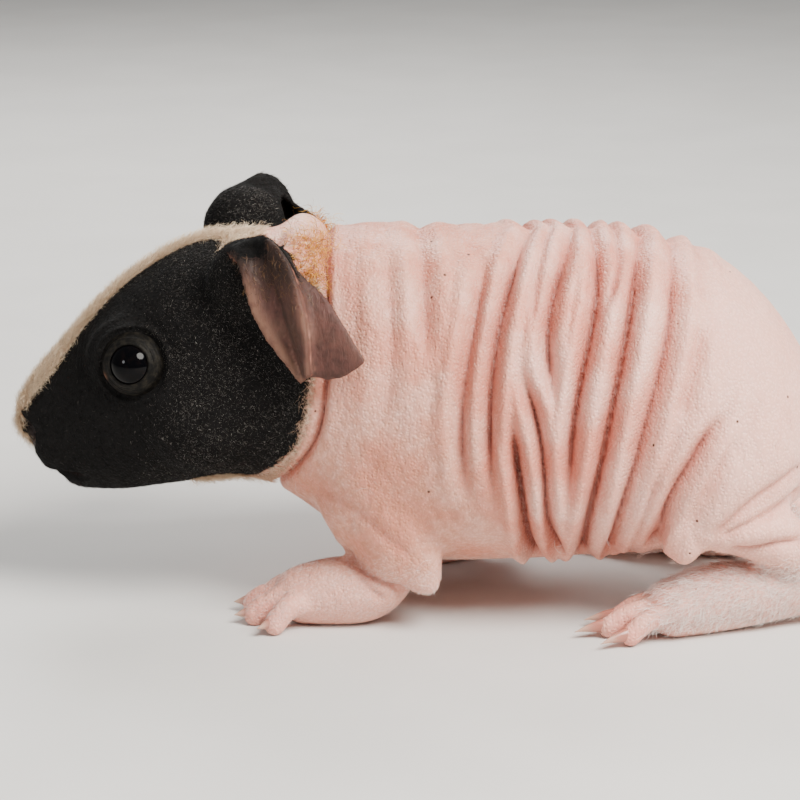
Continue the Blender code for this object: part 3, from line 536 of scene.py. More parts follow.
@dataclass
class FoldForm:
    """Folds of loose skin and the crease behind the head.

    A row of the flank holds the turns round the trunk at the fold's two ends, its places
    along the body at four turns between them, its depth and its half width.
    """

    far_side_slip: float = 1.4 * MM
    flank: tuple[tuple[float, ...], ...] = (
        (0.10, 0.40, -10.8, -10.3, -10.2, -11.0, 0.35, 2.2),
        (0.10, 0.50, -5.6, -5.0, -4.9, -6.4, 0.50, 2.0),
        (0.00, 0.36, -0.6, 0.0, 0.3, 0.4, 1.00, 1.7),
        (0.10, 0.62, 10.0, 8.0, 5.9, 7.6, 1.30, 1.6),
        (0.00, 0.62, 17.2, 13.0, 10.1, 11.2, 1.75, 1.4),
        (0.00, 0.32, 20.2, 18.6, 17.4, 16.4, 1.10, 1.3),
        (0.00, 0.44, 23.8, 21.5, 19.0, 20.4, 1.75, 1.4),
        (0.33, 0.80, 14.0, 18.0, 19.2, 22.2, 1.60, 1.2),
        (0.42, 0.86, 13.0, 15.0, 16.4, 18.6, 2.10, 1.3),
        (0.00, 0.66, 26.4, 26.6, 23.0, 22.6, 1.85, 1.4),
        (0.00, 0.27, 30.2, 30.3, 29.8, 27.2, 1.35, 1.3),
        (0.00, 0.88, 34.4, 31.0, 26.2, 25.4, 1.90, 1.5),
        (0.00, 0.84, 39.2, 37.4, 31.4, 29.0, 1.45, 1.7),
        (0.00, 0.22, 43.2, 43.0, 42.8, 42.4, 0.60, 1.8),
        (0.24, 0.45, 42.6, 41.6, 40.2, 37.8, 0.75, 1.6),
        (0.50, 0.86, 36.4, 34.2, 33.0, 32.4, 0.70, 1.2),
        (0.40, 0.78, 47.0, 40.0, 36.8, 35.8, 1.50, 1.5),
        (0.46, 0.76, 47.0, 43.6, 41.2, 39.4, 0.60, 1.3),
    )
    # Creases seen from the side: places along the body and heights, then depth and width
    limb: tuple[tuple[tuple[tuple[float, float], ...], float, float], ...] = (
        (((60.0, 26.6), (54.0, 24.2), (47.6, 20.2), (44.0, 16.4)), 1.00, 1.1),
        (((60.0, 21.6), (53.7, 20.1), (49.3, 18.8), (45.1, 16.6)), 0.90, 0.9),
        (((46.6, 14.8), (49.5, 14.2), (54.8, 15.0), (60.0, 15.0)), 1.10, 1.0),
        (((-13.4, 12.6), (-9.0, 9.4), (-4.6, 7.4), (-1.5, 6.2)), 1.00, 0.8),
        (((-10.6, 9.6), (-8.4, 7.4), (-5.6, 5.2)), 0.50, 0.7),
        (((-17.0, 23.0), (-11.0, 20.5), (-6.0, 16.5), (-1.0, 12.5)), 0.50, 1.6),
    )
    neck_crease: Array = in_mm(
        (-25.0, 17.0), (-21.0, 23.5), (-17.6, 29.0), (-15.4, 37.0), (-14.8, 50.0), (-14.4, 64.0),
    )
    neck_depth: float = 2.1 * MM
    neck_width: float = 0.62 * MM
    blush: float = 0.5 * MM
    wrinkles: int = 190

    def crease_x(self, z: Array) -> Array:
        """Place along the body of the neck crease at heights."""
        return smooth_curve(self.neck_crease[:, 1], self.neck_crease[:, 0], z)[:, 0]

    def path(self, fold: tuple[float, ...], body: BodyForm, side: Side) -> Array:
        """Path of one fold over the trunk.

        Args:
            fold: The fold's row of sizes.
            body: The trunk that it lies on.
            side: Side of the body.

        Returns:
            The points of the path, one row each.
        """
        turns = np.linspace(fold[0], fold[1], 4)
        place = np.linspace(fold[0], fold[1], 24)
        xs = smooth_curve(turns, np.array(fold[2:6]) * MM, place)[:, 0]
        if side is Side.RIGHT:
            xs += self.far_side_slip * np.sin(xs / (6.0 * MM)) * ramp(place, 0.0, 0.2)
        return body.flank_point(xs, place, side)


# Node materials


class Paint:
    """Builds the node tree of one material."""

    def __init__(self, name: str) -> None:
        """Start a material with its Principled shader.

        Args:
            name: Name of the material.
        """
        self.material = bpy.data.materials.new(name)
        self.material.use_nodes = True
        self.tree = self.material.node_tree
        self.shader = self.tree.nodes["Principled BSDF"]
        self.place = self.node("ShaderNodeTexCoord").outputs["Object"]

    def node(self, kind: str, **settings: object) -> bpy.types.Node:
        """Add a node with its settings.

        Args:
            kind: Blender's node type.
            settings: Attributes of the node and their values.

        Returns:
            The node.
        """
        made = self.tree.nodes.new(kind)
        for name, value in settings.items():
            setattr(made, name, value)
        return made

    def feed(self, socket: Socket, value: object) -> None:
        """Link an output to a socket, or set the socket's value.

        Args:
            socket: The input.
            value: An output, a number or a colour.
        """
        if isinstance(value, Socket):
            self.tree.links.new(value, socket)
        elif isinstance(value, tuple) and len(value) == 3 and socket.type == "RGBA":
            socket.default_value = (*value, 1.0)
        else:
            socket.default_value = value

    def set(self, **values: object) -> None:
        """Set inputs of the Principled shader; spaces are written as underscores."""
        for name, value in values.items():
            self.feed(self.shader.inputs[name.replace("_", " ")], value)

    def stretched(self, scale: Triple) -> Socket:
        """Object coordinates with each axis scaled.

        Args:
            scale: Scale of each axis.

        Returns:
            The scaled coordinates.
        """
        mapping = self.node("ShaderNodeMapping")
        self.feed(mapping.inputs["Vector"], self.place)
        mapping.inputs["Scale"].default_value = scale
        return mapping.outputs["Vector"]

    def noise(self, size: float, detail: float = 2.0, stretch: Triple = (1, 1, 1),
              distortion: float = 0.0) -> Socket:
        """Noise whose blobs are about size across, in metres.

        Args:
            size: Size of a blob.
            detail: Octaves of finer noise laid on it.
            stretch: Scale of each axis; under 1 draws the blobs out.
            distortion: How much the blobs are warped.

        Returns:
            The noise, from 0 to 1.
        """
        made = self.node("ShaderNodeTexNoise")
        self.feed(made.inputs["Vector"], self.stretched(stretch))
        made.inputs["Scale"].default_value = 1 / size
        made.inputs["Detail"].default_value = detail
        made.inputs["Distortion"].default_value = distortion
        return made.outputs["Fac"]

    def cells(self, size: float) -> Socket:
        """Distance to the nearest of points strewn about size apart.

        Args:
            size: How far apart the points are, in metres.

        Returns:
            The distance, as a share of the size.
        """
        made = self.node("ShaderNodeTexVoronoi")
        self.feed(made.inputs["Vector"], self.place)
        made.inputs["Scale"].default_value = 1 / size
        return made.outputs["Distance"]

    def attribute(self, name: str) -> Socket:
        """A number stored on the mesh."""
        return self.node("ShaderNodeAttribute", attribute_name=name).outputs["Fac"]

    def math(self, operation: str, first: object, second: object) -> Socket:
        """One arithmetic step.

        Args:
            operation: Blender's name of the step.
            first: First number.
            second: Second number.

        Returns:
            The result.
        """
        made = self.node("ShaderNodeMath", operation=operation)
        self.feed(made.inputs[0], first)
        self.feed(made.inputs[1], second)
        return made.outputs[0]

    def times(self, first: object, second: object) -> Socket:
        """Two numbers multiplied."""
        return self.math("MULTIPLY", first, second)

    def add(self, first: object, second: object) -> Socket:
        """Two numbers added."""
        return self.math("ADD", first, second)

    def ramp(self, value: Socket, low: float, high: float,
             to_low: float = 0.0, to_high: float = 1.0) -> Socket:
        """Map a range to another with soft ends.

        Args:
            value: The number to map.
            low: Where its range begins.
            high: Where its range ends.
            to_low: What low becomes.
            to_high: What high becomes.

        Returns:
            The mapped number.
        """
        made = self.node("ShaderNodeMapRange", interpolation_type="SMOOTHSTEP")
        self.feed(made.inputs["Value"], value)
        for name, number in zip(("From Min", "From Max", "To Min", "To Max"), (low, high, to_low, to_high)):
            made.inputs[name].default_value = number
        return made.outputs["Result"]

    def mix(self, factor: object, first: object, second: object) -> Socket:
        """Mix two colours.

        Args:
            factor: Share of the second.
            first: First colour.
            second: Second colour.

        Returns:
            The mixed colour.
        """
        made = self.node("ShaderNodeMix", data_type="RGBA")
        for index, value in ((0, factor), (6, first), (7, second)):
            self.feed(made.inputs[index], value)
        return made.outputs[2]

    def blend(self, factor: object, first: object, second: object) -> Socket:
        """Mix two numbers.

        Args:
            factor: Share of the second.
            first: First number.
            second: Second number.

        Returns:
            The mixed number.
        """
        made = self.node("ShaderNodeMix", data_type="FLOAT")
        for index, value in ((0, factor), (2, first), (3, second)):
            self.feed(made.inputs[index], value)
        return made.outputs[0]

    def bump(self, height: Socket, distance: float, below: Socket | None = None) -> Socket:
        """A bump of the given height in metres, laid over another one.

        Args:
            height: Pattern that raises the surface.
            distance: How far it is raised where the pattern is 1.
            below: The bump that this one is laid over.

        Returns:
            The bumped normal.
        """
        made = self.node("ShaderNodeBump")
        made.inputs["Strength"].default_value = 1.0
        made.inputs["Distance"].default_value = distance
        self.feed(made.inputs["Height"], height)
        if below is not None:
            self.feed(made.inputs["Normal"], below)
        return made.outputs["Normal"]


@dataclass(frozen=True)
class SkinFinish:
    """Bare skin of the body, velvet ground of the head, and the ears."""

    pink: Triple = (0.73, 0.295, 0.210)
    pale: Triple = (0.89, 0.53, 0.43)
    # Tan of the shoulder skin; laid on more strongly low on the chest as painted shade
    tan: Triple = (0.53, 0.220, 0.125)
    # Redder skin of the valleys, streaks and pores; in the valleys it is laid on by depth, partly as
    # painted shade
    flush_and_shade: Triple = (0.43, 0.135, 0.100)
    # Near black at the bottom of the deepest valleys: painted shade
    crease: Triple = (0.17, 0.035, 0.025)
    toe_red: Triple = (0.80, 0.26, 0.20)
    black: Triple = (0.0035, 0.0030, 0.0028)
    leather: Triple = (0.036, 0.022, 0.017)
    # Near black in the nostrils, the mouth and the groove under the nose: painted shade
    slit: Triple = (0.010, 0.004, 0.003)
    cream: Triple = (0.80, 0.60, 0.43)
    ear_brown: Triple = (0.088, 0.036, 0.029)
    # Paler tan of the ear's front roll, also used as painted highlight on the thin rims
    ear_rim: Triple = (0.210, 0.108, 0.072)
    # Dark brown of the ear, also used as painted shade in the front lobe's hollow and groove
    ear_dark: Triple = (0.020, 0.012, 0.009)
    speck: Triple = (0.08, 0.035, 0.02)
    across: Triple = (1.0, 0.4, 0.4)
    streak_height: float = 0.18 * MM
    crinkle_height: float = 0.24 * MM
    pore_size: float = 0.55 * MM
    pore_height: float = 0.18 * MM
    speck_spacing: float = 5.5 * MM
    speck_radius: float = 0.042
    velvet_rough: float = 0.9
    ear_rough: float = 0.62
    leather_rough: float = 0.42

    def material(self) -> bpy.types.Material:
        """The node material of the skin.

        Returns:
            The material.
        """
        paint = Paint("skin")
        mottle = paint.noise(9 * MM, 3.0)
        fine = paint.noise(1.2 * MM, 3.0)
        streak = paint.noise(2.6 * MM, 3.0, (1.0, 0.3, 0.3), 0.4)
        crinkle = paint.noise(0.8 * MM, 2.0, self.across, 0.6)
        pores = paint.ramp(paint.cells(self.pore_size), 0.0, 0.62, 0.0, 0.62)
        ragged = paint.math("SUBTRACT", paint.noise(0.5 * MM, 2.0, (0.35, 1, 1)), 0.5)
        furred, creamy = (paint.ramp(paint.add(paint.attribute(name), paint.times(ragged, 0.9)), 0.35, 0.65)
                          for name in ("black", "cream"))
        ear, leather = paint.attribute("ear"), paint.attribute("leather")
        colour = self.bare(paint, mottle, fine, streak, pores)
        colour = paint.mix(ear, colour, self.ears(paint, mottle, fine))
        colour = paint.mix(creamy, colour, self.cream)
        colour = paint.mix(furred, colour, self.black)
        colour = paint.mix(leather, colour, self.leather)
        # Painted shade in the nostrils, the mouth and the groove under the nose, by how deep they are
        # pressed
        colour = paint.mix(paint.ramp(paint.attribute("slit"), 0.12, 0.42), colour, self.slit)
        rough = paint.blend(ear, paint.ramp(fine, 0.2, 0.8, 0.34, 0.52), self.ear_rough)
        rough = paint.blend(furred, rough, self.velvet_rough)
        rough = paint.blend(leather, rough, self.leather_rough)
        normal = paint.bump(paint.blend(ear, streak, 0.5), self.streak_height)
        normal = paint.bump(crinkle, self.crinkle_height, normal)
        normal = paint.bump(paint.blend(ear, pores, 0.5), self.pore_height, normal)
        paint.set(Base_Color=colour, Roughness=rough, Normal=normal, Subsurface_Weight=0.12,
                  Subsurface_Radius=(1.0, 0.35, 0.2), Subsurface_Scale=0.9 * MM, IOR=1.42,
                  Specular_IOR_Level=0.3)
        return paint.material

    def bare(self, paint: Paint, mottle: Socket, fine: Socket,
             streak: Socket, pores: Socket) -> Socket:
        """Colour of the bare skin, from the shoulder's tan to the pale rump, with painted shade low on the
        chest and in the valleys of the folds.

        Args:
            paint: The material being built.
            mottle: Coarse noise.
            fine: Fine noise.
            streak: Noise drawn out round the body.
            pores: Pattern of the pores.

        Returns:
            The colour.
        """
        colour = paint.mix(paint.ramp(mottle, 0.35, 0.7), self.pink, self.pale)
        colour = paint.mix(paint.times(paint.attribute("pale"), 0.85), colour, self.pale)
        # Tan of the shoulder, stronger low on the chest as painted shade
        tanned = paint.times(paint.attribute("tan"), paint.ramp(fine, 0.25, 0.75, 0.25, 0.75))
        colour = paint.mix(tanned, colour, self.tan)
        # Valleys of the folds and creases: redder skin, darkened with their depth as painted shade
        depth = paint.attribute("flush_and_shade")
        shallow, deep = paint.ramp(depth, 0.02, 0.35, 0.0, 0.22), paint.ramp(depth, 0.35, 0.95, 0.0, 0.55)
        valley = paint.add(shallow, deep)
        valley = paint.times(valley, paint.ramp(streak, 0.2, 0.7, 0.75, 1.0))
        colour = paint.mix(valley, colour, self.flush_and_shade)
        colour = paint.mix(paint.ramp(streak, 0.56, 0.72, 0.0, 0.15), colour, self.flush_and_shade)
        # Painted shade at the bottom of the deepest valleys
        colour = paint.mix(paint.ramp(depth, 0.8, 1.0, 0.0, 0.7), colour, self.crease)
        colour = paint.mix(paint.ramp(pores, 0.35, 0.75, 0.0, 0.30), colour, self.flush_and_shade)
        colour = paint.mix(paint.attribute("toe"), colour, self.toe_red)
        specks = paint.math("LESS_THAN", paint.cells(self.speck_spacing), self.speck_radius)
        return paint.mix(specks, colour, self.speck)

    def ears(self, paint: Paint, mottle: Socket, fine: Socket) -> Socket:
        """Colour of the ears: brown flap, painted shade in the hollow and groove of the front lobe, and
        paler rims that are the front roll's tan and painted highlight.

        Args:
            paint: The material being built.
            mottle: Coarse noise.
            fine: Fine noise.

        Returns:
            The colour.
        """
        colour = paint.mix(paint.ramp(fine, 0.35, 0.7, 0.0, 0.45), self.ear_brown, self.ear_dark)
        colour = paint.mix(paint.ramp(mottle, 0.4, 0.7, 0.0, 0.35), colour, self.ear_rim)
        # Painted shade in the front lobe's hollow and groove, with the darker inside and upper part of the
        # ear
        colour = paint.mix(paint.times(paint.attribute("lobe"), 0.85), colour, self.ear_dark)
        # Paler rims: the front roll's own tan, and painted highlight on the thin rims
        rim = paint.times(paint.attribute("rim"), paint.ramp(fine, 0.25, 0.6, 0.3, 0.9))
        return paint.mix(rim, colour, self.ear_rim)


@dataclass(frozen=True)
class HairFinish:
    """Fine hairs that run from a root tint to a tip tint."""

    name: str
    root: Triple
    tip: Triple
    odd_and_glint: Triple
    roughness: float = 0.45
    shine: float = 0.3

    def material(self) -> bpy.types.Material:
        """The node material of the hairs.

        Returns:
            The material.
        """
        paint = Paint(self.name)
        colour = paint.mix(paint.attribute("along"), self.root, self.tip)
        colour = paint.mix(paint.attribute("odd_and_glint"), colour, self.odd_and_glint)
        grain = paint.ramp(paint.noise(0.6 * MM, 2.0), 0.3, 0.7, 0.0, 0.25)
        colour = paint.mix(grain, colour, self.root)
        paint.set(Base_Color=colour, Roughness=self.roughness, IOR=1.5, Specular_IOR_Level=self.shine)
        return paint.material


@dataclass(frozen=True)
class EyeFinish:
    """Wet, nearly black eye with a faint brown iris."""

    pupil: Triple = (0.001, 0.001, 0.0015)
    iris: Triple = (0.006, 0.0035, 0.003)

    def material(self) -> bpy.types.Material:
        """The node material of the eyes.

        Returns:
            The material.
        """
        paint = Paint("eye_wet")
        fibres = paint.noise(0.9 * MM, 3.0)
        colour = paint.mix(paint.ramp(fibres, 0.4, 0.8, 0.0, 0.5), self.pupil, self.iris)
        paint.set(Base_Color=colour, Roughness=0.05, IOR=1.19)
        return paint.material


@dataclass(frozen=True)
class LidFinish:
    """Dark bare skin of a lid, with a pinkish brown tear duct."""

    dark: Triple = (0.0035, 0.003, 0.0025)
    worn: Triple = (0.013, 0.011, 0.008)
    duct: Triple = (0.16, 0.075, 0.045)

    def material(self) -> bpy.types.Material:
        """The node material of the lids.

        Returns:
            The material.
        """
        paint = Paint("lid")
        patch = paint.noise(0.8 * MM, 3.0)
        colour = paint.mix(paint.ramp(patch, 0.4, 0.7), self.dark, self.worn)
        colour = paint.mix(paint.attribute("duct"), colour, self.duct)
        normal = paint.bump(paint.noise(0.3 * MM, 2.0), 0.06 * MM)
        paint.set(Base_Color=colour, Roughness=0.6, Normal=normal, Specular_IOR_Level=0.12)
        return paint.material


@dataclass(frozen=True)
class ClawFinish:
    """Thin pale horn with a red core that shows near the root."""

    horn: Triple = (0.56, 0.36, 0.27)
    core: Triple = (0.42, 0.165, 0.12)

    def material(self) -> bpy.types.Material:
        """The node material of the claws.

        Returns:
            The material.
        """
        paint = Paint("claw_horn")
        streak = paint.noise(0.5 * MM, 3.0, (0.3, 1, 1))
        colour = paint.mix(paint.attribute("core"), self.horn, self.core)
        colour = paint.mix(paint.ramp(streak, 0.35, 0.75, 0.0, 0.35), colour, self.core)
        normal = paint.bump(streak, 0.04 * MM)
        paint.set(Base_Color=colour, Roughness=0.3, Normal=normal, Subsurface_Weight=0.25,
                  Subsurface_Radius=(1.0, 0.4, 0.25), Subsurface_Scale=0.8 * MM)
        return paint.material


# The skin


def orbit_distance(points: Array, eye: EyeForm) -> Array:
    """Distance of points from the axis of the eye on their own side.

    Args:
        points: One point a row.
        eye: Place and sizes of the eyes.

    Returns:
        The distances, infinite within 2 mm of the middle of the body.
    """
    nearest = np.full(len(points), np.inf)
    for side in Side:
        centre, axis = (np.array(v) for v in eye.on(side))
        offset = points - centre
        across = np.linalg.norm(offset - (offset @ axis)[:, None] * axis, axis=1)
        nearest = np.where((side.value * points[:, 1] > 2 * MM) & (across < nearest), across, nearest)
    return nearest


class Markings:
    """Where the velvet is black or cream. Bare numbers here are millimetres."""

    blaze_places: tuple[float, ...] = (-66.0, -62.0, -58.0, -54.0, -46.0, -38.0, -32.0, -26.0)
    blaze_half_widths: tuple[float, ...] = (3.8, 4.2, 4.2, 3.2, 2.3, 1.9, 2.2, 9.0)
    far_blaze_half_width: float = 1.9
    near_crown: float = 7.0
    near_nape: float = -22.0
    far_nape: float = -18.0

    def __init__(self, folds: FoldForm, points: Array) -> None:
        """Read the places to mark.

        Args:
            folds: The folds, with the neck crease that ends the velvet.
            points: Vertices of the skin.
        """
        self.x, y, self.z = points.T / MM
        self.aside, self.near = np.abs(y), y < 0
        self.from_crease = self.x - folds.crease_x(points[:, 2]) / MM
        self.above_paws = ramp(self.z, 10, 13)

    def black(self) -> Array:
        """How black the velvet is, with soft edges between 0 and 1.

        Returns:
            One value a vertex.
        """
        x, z, aside = self.x, self.z, self.aside
        front = 1 - ramp(self.from_crease + 2.2 + 2.6 * (1 - ramp(z, 20, 30)), -1.2, 1.2)
        half_width = np.interp(x, self.blaze_places, self.blaze_half_widths)
        half_width = np.where(self.near | (x <= -33), half_width, self.far_blaze_half_width)
        off_blaze = np.maximum(ramp(aside - half_width, -0.7, 0.7), 1 - ramp(z, 25.6, 26.6))
        crown = np.where(self.near, self.near_crown, 0.6 + 6.0 * ramp(x, -26, -17))
        top = ramp(x, -33, -29) * ramp(z, 52, 54) * (1 - ramp(aside - crown, 0, 1.6))
        nape = ramp(x - np.where(self.near, self.near_nape, self.far_nape), 0, 1.5) * ramp(z, 48, 51)
        throat = ramp(x, -38, -33) * (1 - ramp(z, 20.6, 23)) * (1 - ramp(aside, 9, 12))
        return front * off_blaze * (1 - np.maximum(top, nape)) * (1 - throat) * self.above_paws

    def cream(self) -> Array:
        """How cream the hair is, under the black.

        Returns:
            One value a vertex, between 0 and 1.
        """
        x, z = self.x, self.z
        thin = np.maximum(0.6 * ramp(x, -31, -24) * ramp(z, 50, 56),
                          0.45 * ramp(x, -31, -25) * (1 - ramp(z, 50, 54)))
        return (1 - ramp(self.from_crease, -2.0, -0.4)) * (1 - thin) * self.above_paws


class Press:
    """Gathers valleys and the banks beside them, then presses them into the skin."""

    power = 3

    def __init__(self, skin: Obj) -> None:
        """Read the skin as it is before pressing.

        Args:
            skin: The skin to press.
        """
        self.skin = skin
        self.points, self.normals = read_points(skin.data), read_points(skin.data, "normal")
        self.pressed, self.banked = np.zeros(len(self.points)), np.zeros(len(self.points))

    def onto(self, path: Array) -> Array:
        """The path moved onto the skin."""
        return np.array([self.skin.closest_point_on_mesh(Vector(point))[1] for point in path])

    def valley(self, path: Array, depth: float, width: float, where: Array,
               ends: tuple[float, float] = (0.15, 0.15), bank: float = 0.0) -> None:
        """Add one valley.

        Args:
            path: Its path, in space or seen from the side (two columns).
            depth: Its depth.
            width: Its half width.
            where: How much of it shows, one value a vertex.
            ends: Share of the path over which it fades in and out.
            bank: Height of the banks beside it, as a share of the depth.
        """
        seen = self.points if path.shape[1] == 3 else self.points[:, [0, 2]]
        low, high = path.min(axis=0) - 5 * width, path.max(axis=0) + 5 * width
        near = np.flatnonzero(((seen > low) & (seen < high)).all(axis=1))
        distance, along = path_distance(seen[near], path)
        shown = depth * where[near]
        for place, end in zip((along, 1 - along), ends):
            if end:
                shown = shown * ramp(place, -0.01, end)
        self.pressed[near] += (shown * np.exp(-((distance / width) ** 1.2))) ** self.power
        lift = bank * shown * bell(distance - 2.5 * width, 1.3 * width)
        self.banked[near] = np.maximum(self.banked[near], lift)

    def write(self, name: str) -> None:
        """Move the skin, and store the depth of its valleys, where 1 is two millimetres.

        Args:
            name: Name of the marking that keeps the depth.
        """
        depth = self.pressed ** (1 / self.power)
        write_points(self.skin.data, self.points + self.normals * (self.banked - depth)[:, None])
        write_attribute(self.skin.data, name, depth / (2 * MM))


@dataclass
class Skin:
    """The one skin that replaces the nodes of flesh."""

    voxel: float = 0.44 * MM
    triangles: int = 190000
    soften_steps: int = 90
    crispness: float = 0.93
    # Shares of the crispness, and how far each reaches
    foot_crispness: float = 0.95
    foot_heights: tuple[float, float] = (6 * MM, 12 * MM)
    muzzle_crispness: float = 0.6
    muzzle_reach: float = 7 * MM
    ear_reach: float = 2.0 * MM
    fold_depth: float = 1.45
    fold_width: float = 0.68
    fold_bank: float = 0.42
    crease_depth: float = 1.35
    velvet_depth: float = 0.3 * MM
    body: BodyForm = field(default_factory=BodyForm)
    limbs: LimbForm = field(default_factory=LimbForm)
    ear: EarForm = field(default_factory=EarForm)
    eye: EyeForm = field(default_factory=EyeForm)
    folds: FoldForm = field(default_factory=FoldForm)
    muzzle: MuzzleForm = field(default_factory=MuzzleForm)

    def clay(self) -> Obj:
        """Head, trunk, limbs and ears as overlapping closed forms.

        Returns:
            The forms, joined to one object.
        """
        deselect_all()
        bpy.ops.mesh.primitive_uv_sphere_add(segments=120, ring_count=200, radius=1.0)
        hull = bpy.context.object
        hull.name = "skin"
        unit = read_points(hull.data)
        length = self.body.rump[0] - self.body.nose[0]
        x = self.body.nose[0] + 0.5 * length * (1 - unit[:, 2])
        write_points(hull.data, self.body.point(x, np.arctan2(unit[:, 1], unit[:, 0])))
        deselect_all()
        bpy.ops.mesh.primitive_uv_sphere_add(segments=24, ring_count=16, radius=1.0)
        ball = bpy.context.object
        corners = read_points(ball.data)
        faces = [list(face.vertices) for face in ball.data.polygons]
        bpy.data.objects.remove(ball)
        balls = []
        for side in Side:
            balls += [(centre * (1, side.value, 1), radii) for centre, radii in self.limbs.masses]
            base, radii = (np.array(v) for v in self.ear.base)
            balls.append((base * (1, side.value, 1) + self.ear.lift(side), radii))
            for rows in self.limbs.chains(side):
                for a, b, c, wide, high in smooth_path(rows, 6 * (len(rows) - 1) + 1):
                    balls.append(((a, side.value * b, c), (0.5 * (wide + high), wide, high)))
        mesh = bpy.data.meshes.new("balls")
        count = len(corners)
        mesh.from_pydata(
            np.vstack([corners * radii + centre for centre, radii in balls]).tolist(), [],
            [[index + k * count for index in face] for k in range(len(balls)) for face in faces])
        lumps = bpy.data.objects.new("balls", mesh)
        bpy.context.scene.collection.objects.link(lumps)
        pieces = [lumps] + [self.ear_sheet(side) for side in Side]
        activate(hull)
        for piece in pieces:
            piece.select_set(True)
        bpy.ops.object.join()
        return hull

    def ear_sheet(self, side: Side) -> Obj:
        """The thick sheet of one ear.

        Args:
            side: Whose ear.

        Returns:
            The sheet.
        """
        deselect_all()
        cells = self.ear.cells
        bpy.ops.mesh.primitive_grid_add(x_subdivisions=cells, y_subdivisions=cells, size=1.0)
        sheet = bpy.context.object
        write_points(sheet.data, self.ear.grid(side).transpose(1, 0, 2).reshape(-1, 3))
        if side is Side.LEFT:
            sheet.data.flip_normals()
        apply_modifier(sheet, "SOLIDIFY", thickness=self.ear.thickness, offset=0.0)
        return sheet

    def shape_orbit(self, points: Array, side: Side) -> Array:
        """Draw the skin over the globe of one eye, with an open socket and the folds round it.

        Args:
            points: Vertices of the skin.
            side: Whose eye.

        Returns:
            The moved vertices.
        """
        eye = self.eye
        centre, axis = (np.array(v) for v in eye.on(side))
        offset = points - centre
        out = offset @ axis
        across = np.linalg.norm(offset - out[:, None] * axis, axis=1)
        upward = offset[:, 2] / np.maximum(across, 0.1 * MM)
        near = (out > -1.0 * MM) & (across < eye.brow + 2 * MM)
        globe = np.sqrt(np.clip(eye.radius**2 - across**2, 0, None))
        lid = globe + eye.lid_rise * (1 - 0.5 * ramp(across, eye.opening, eye.lid_reach))
        weight = 1 - ramp(across, eye.opening + 0.9 * MM, eye.lid_reach)
        target = out + (lid - out) * weight
        for reach, height, width in eye.rings:
            target += height * MM * bell(across - reach * MM, width * MM)
        target -= eye.brow_depth * bell(across - eye.brow, 0.6 * MM) * ramp(upward, -0.1, 0.5)
        target = np.where(across < eye.socket, np.minimum(out, globe - eye.socket_depth), target)
        shift = np.where(near, target - out, 0)
        return points + shift[:, None] * axis

    def build(self) -> Obj:
        """Fuse, soften, fold and mark the skin.

        Returns:
            The finished skin.
        """
        skin = self.clay()
        apply_modifier(skin, "REMESH", mode="VOXEL", voxel_size=self.voxel)
        LOG.info("skin remeshed: %d faces", len(skin.data.polygons))
        self.soften(skin)
        self.press_folds(skin)
        points = read_points(skin.data)
        for side in Side:
            points = self.shape_orbit(points, side)
        points[:, 2] = np.maximum(points[:, 2], 0)
        write_points(skin.data, points)
        ratio = min(1.0, self.triangles / (2 * len(skin.data.polygons)))
        apply_modifier(skin, "DECIMATE", ratio=ratio, use_collapse_triangulate=True)
        self.mark(skin)
        self.draw_in(skin)
        self.unwrap(skin)
        activate(skin)
        bpy.ops.object.shade_smooth()
        return skin

    def draw_in(self, skin: Obj) -> None:
        """Draw the skin in by the depth of the velvet on the head.

        Args:
            skin: The marked skin.
        """
        points, normals = read_points(skin.data), read_points(skin.data, "normal")
        depth = np.empty((2, len(points)))
        for row, name in enumerate(("black", "cream")):
            skin.data.attributes[name].data.foreach_get("value", depth[row])
        furred = depth.max(axis=0) * ramp(orbit_distance(points, self.eye), 4.0 * MM, 6.0 * MM)
        write_points(skin.data, points - normals * (self.velvet_depth * furred)[:, None])

    def unwrap(self, skin: Obj) -> None:
        """Lay the skin out flat on its bake map.

        Args:
            skin: The skin, with its last triangles.
        """
        activate(skin)
        skin.data.uv_layers.new(name=BAKE_MAP)
        bpy.ops.object.mode_set(mode="EDIT")
        bpy.ops.mesh.select_all(action="SELECT")
        bpy.ops.uv.smart_project(angle_limit=math.radians(66), island_margin=0.002)
        bpy.ops.object.mode_set(mode="OBJECT")

    def soften(self, skin: Obj) -> None:
        """Smooth the joins, but keep toes, ears and muzzle crisp.

        Args:
            skin: The fused skin.
        """
        points = read_points(skin.data)
        foot = (1 - ramp(points[:, 2], *self.foot_heights)) * self.foot_crispness
        muzzle = self.muzzle_crispness * bell(points[:, 0] - self.body.nose[0], self.muzzle_reach)
        ears = self.ear_nearness(points, self.ear_reach)
        group = skin.vertex_groups.new(name="soft")
        for index, weight in enumerate(1 - self.crispness * np.maximum.reduce([foot, muzzle, ears])):
            group.add([index], float(weight), "REPLACE")
        apply_modifier(skin, "SMOOTH", factor=0.5, iterations=self.soften_steps, vertex_group="soft")
        skin.vertex_groups.clear()

    def ear_nearness(self, points: Array, reach: float) -> Array:
        """1 on the ears, falling to 0 at the reach from their sheet.

        Args:
            points: One point a row.
            reach: Where it has fallen to 0.

        Returns:
            One value a point.
        """
        nearness = np.zeros(len(points))
        for side in Side:
            sheet = self.ear.grid(side).reshape(-1, 3)
            low, high = sheet.min(0) - reach, sheet.max(0) + reach
            inside = np.nonzero(((points > low) & (points < high)).all(axis=1))[0]
            for part in np.array_split(inside, max(1, len(inside) // 2000)):
                gap = np.linalg.norm(points[part][:, None] - sheet[None], axis=2).min(axis=1)
                nearness[part] = np.maximum(nearness[part], 1 - ramp(gap, 0.5 * reach, reach))
        return nearness

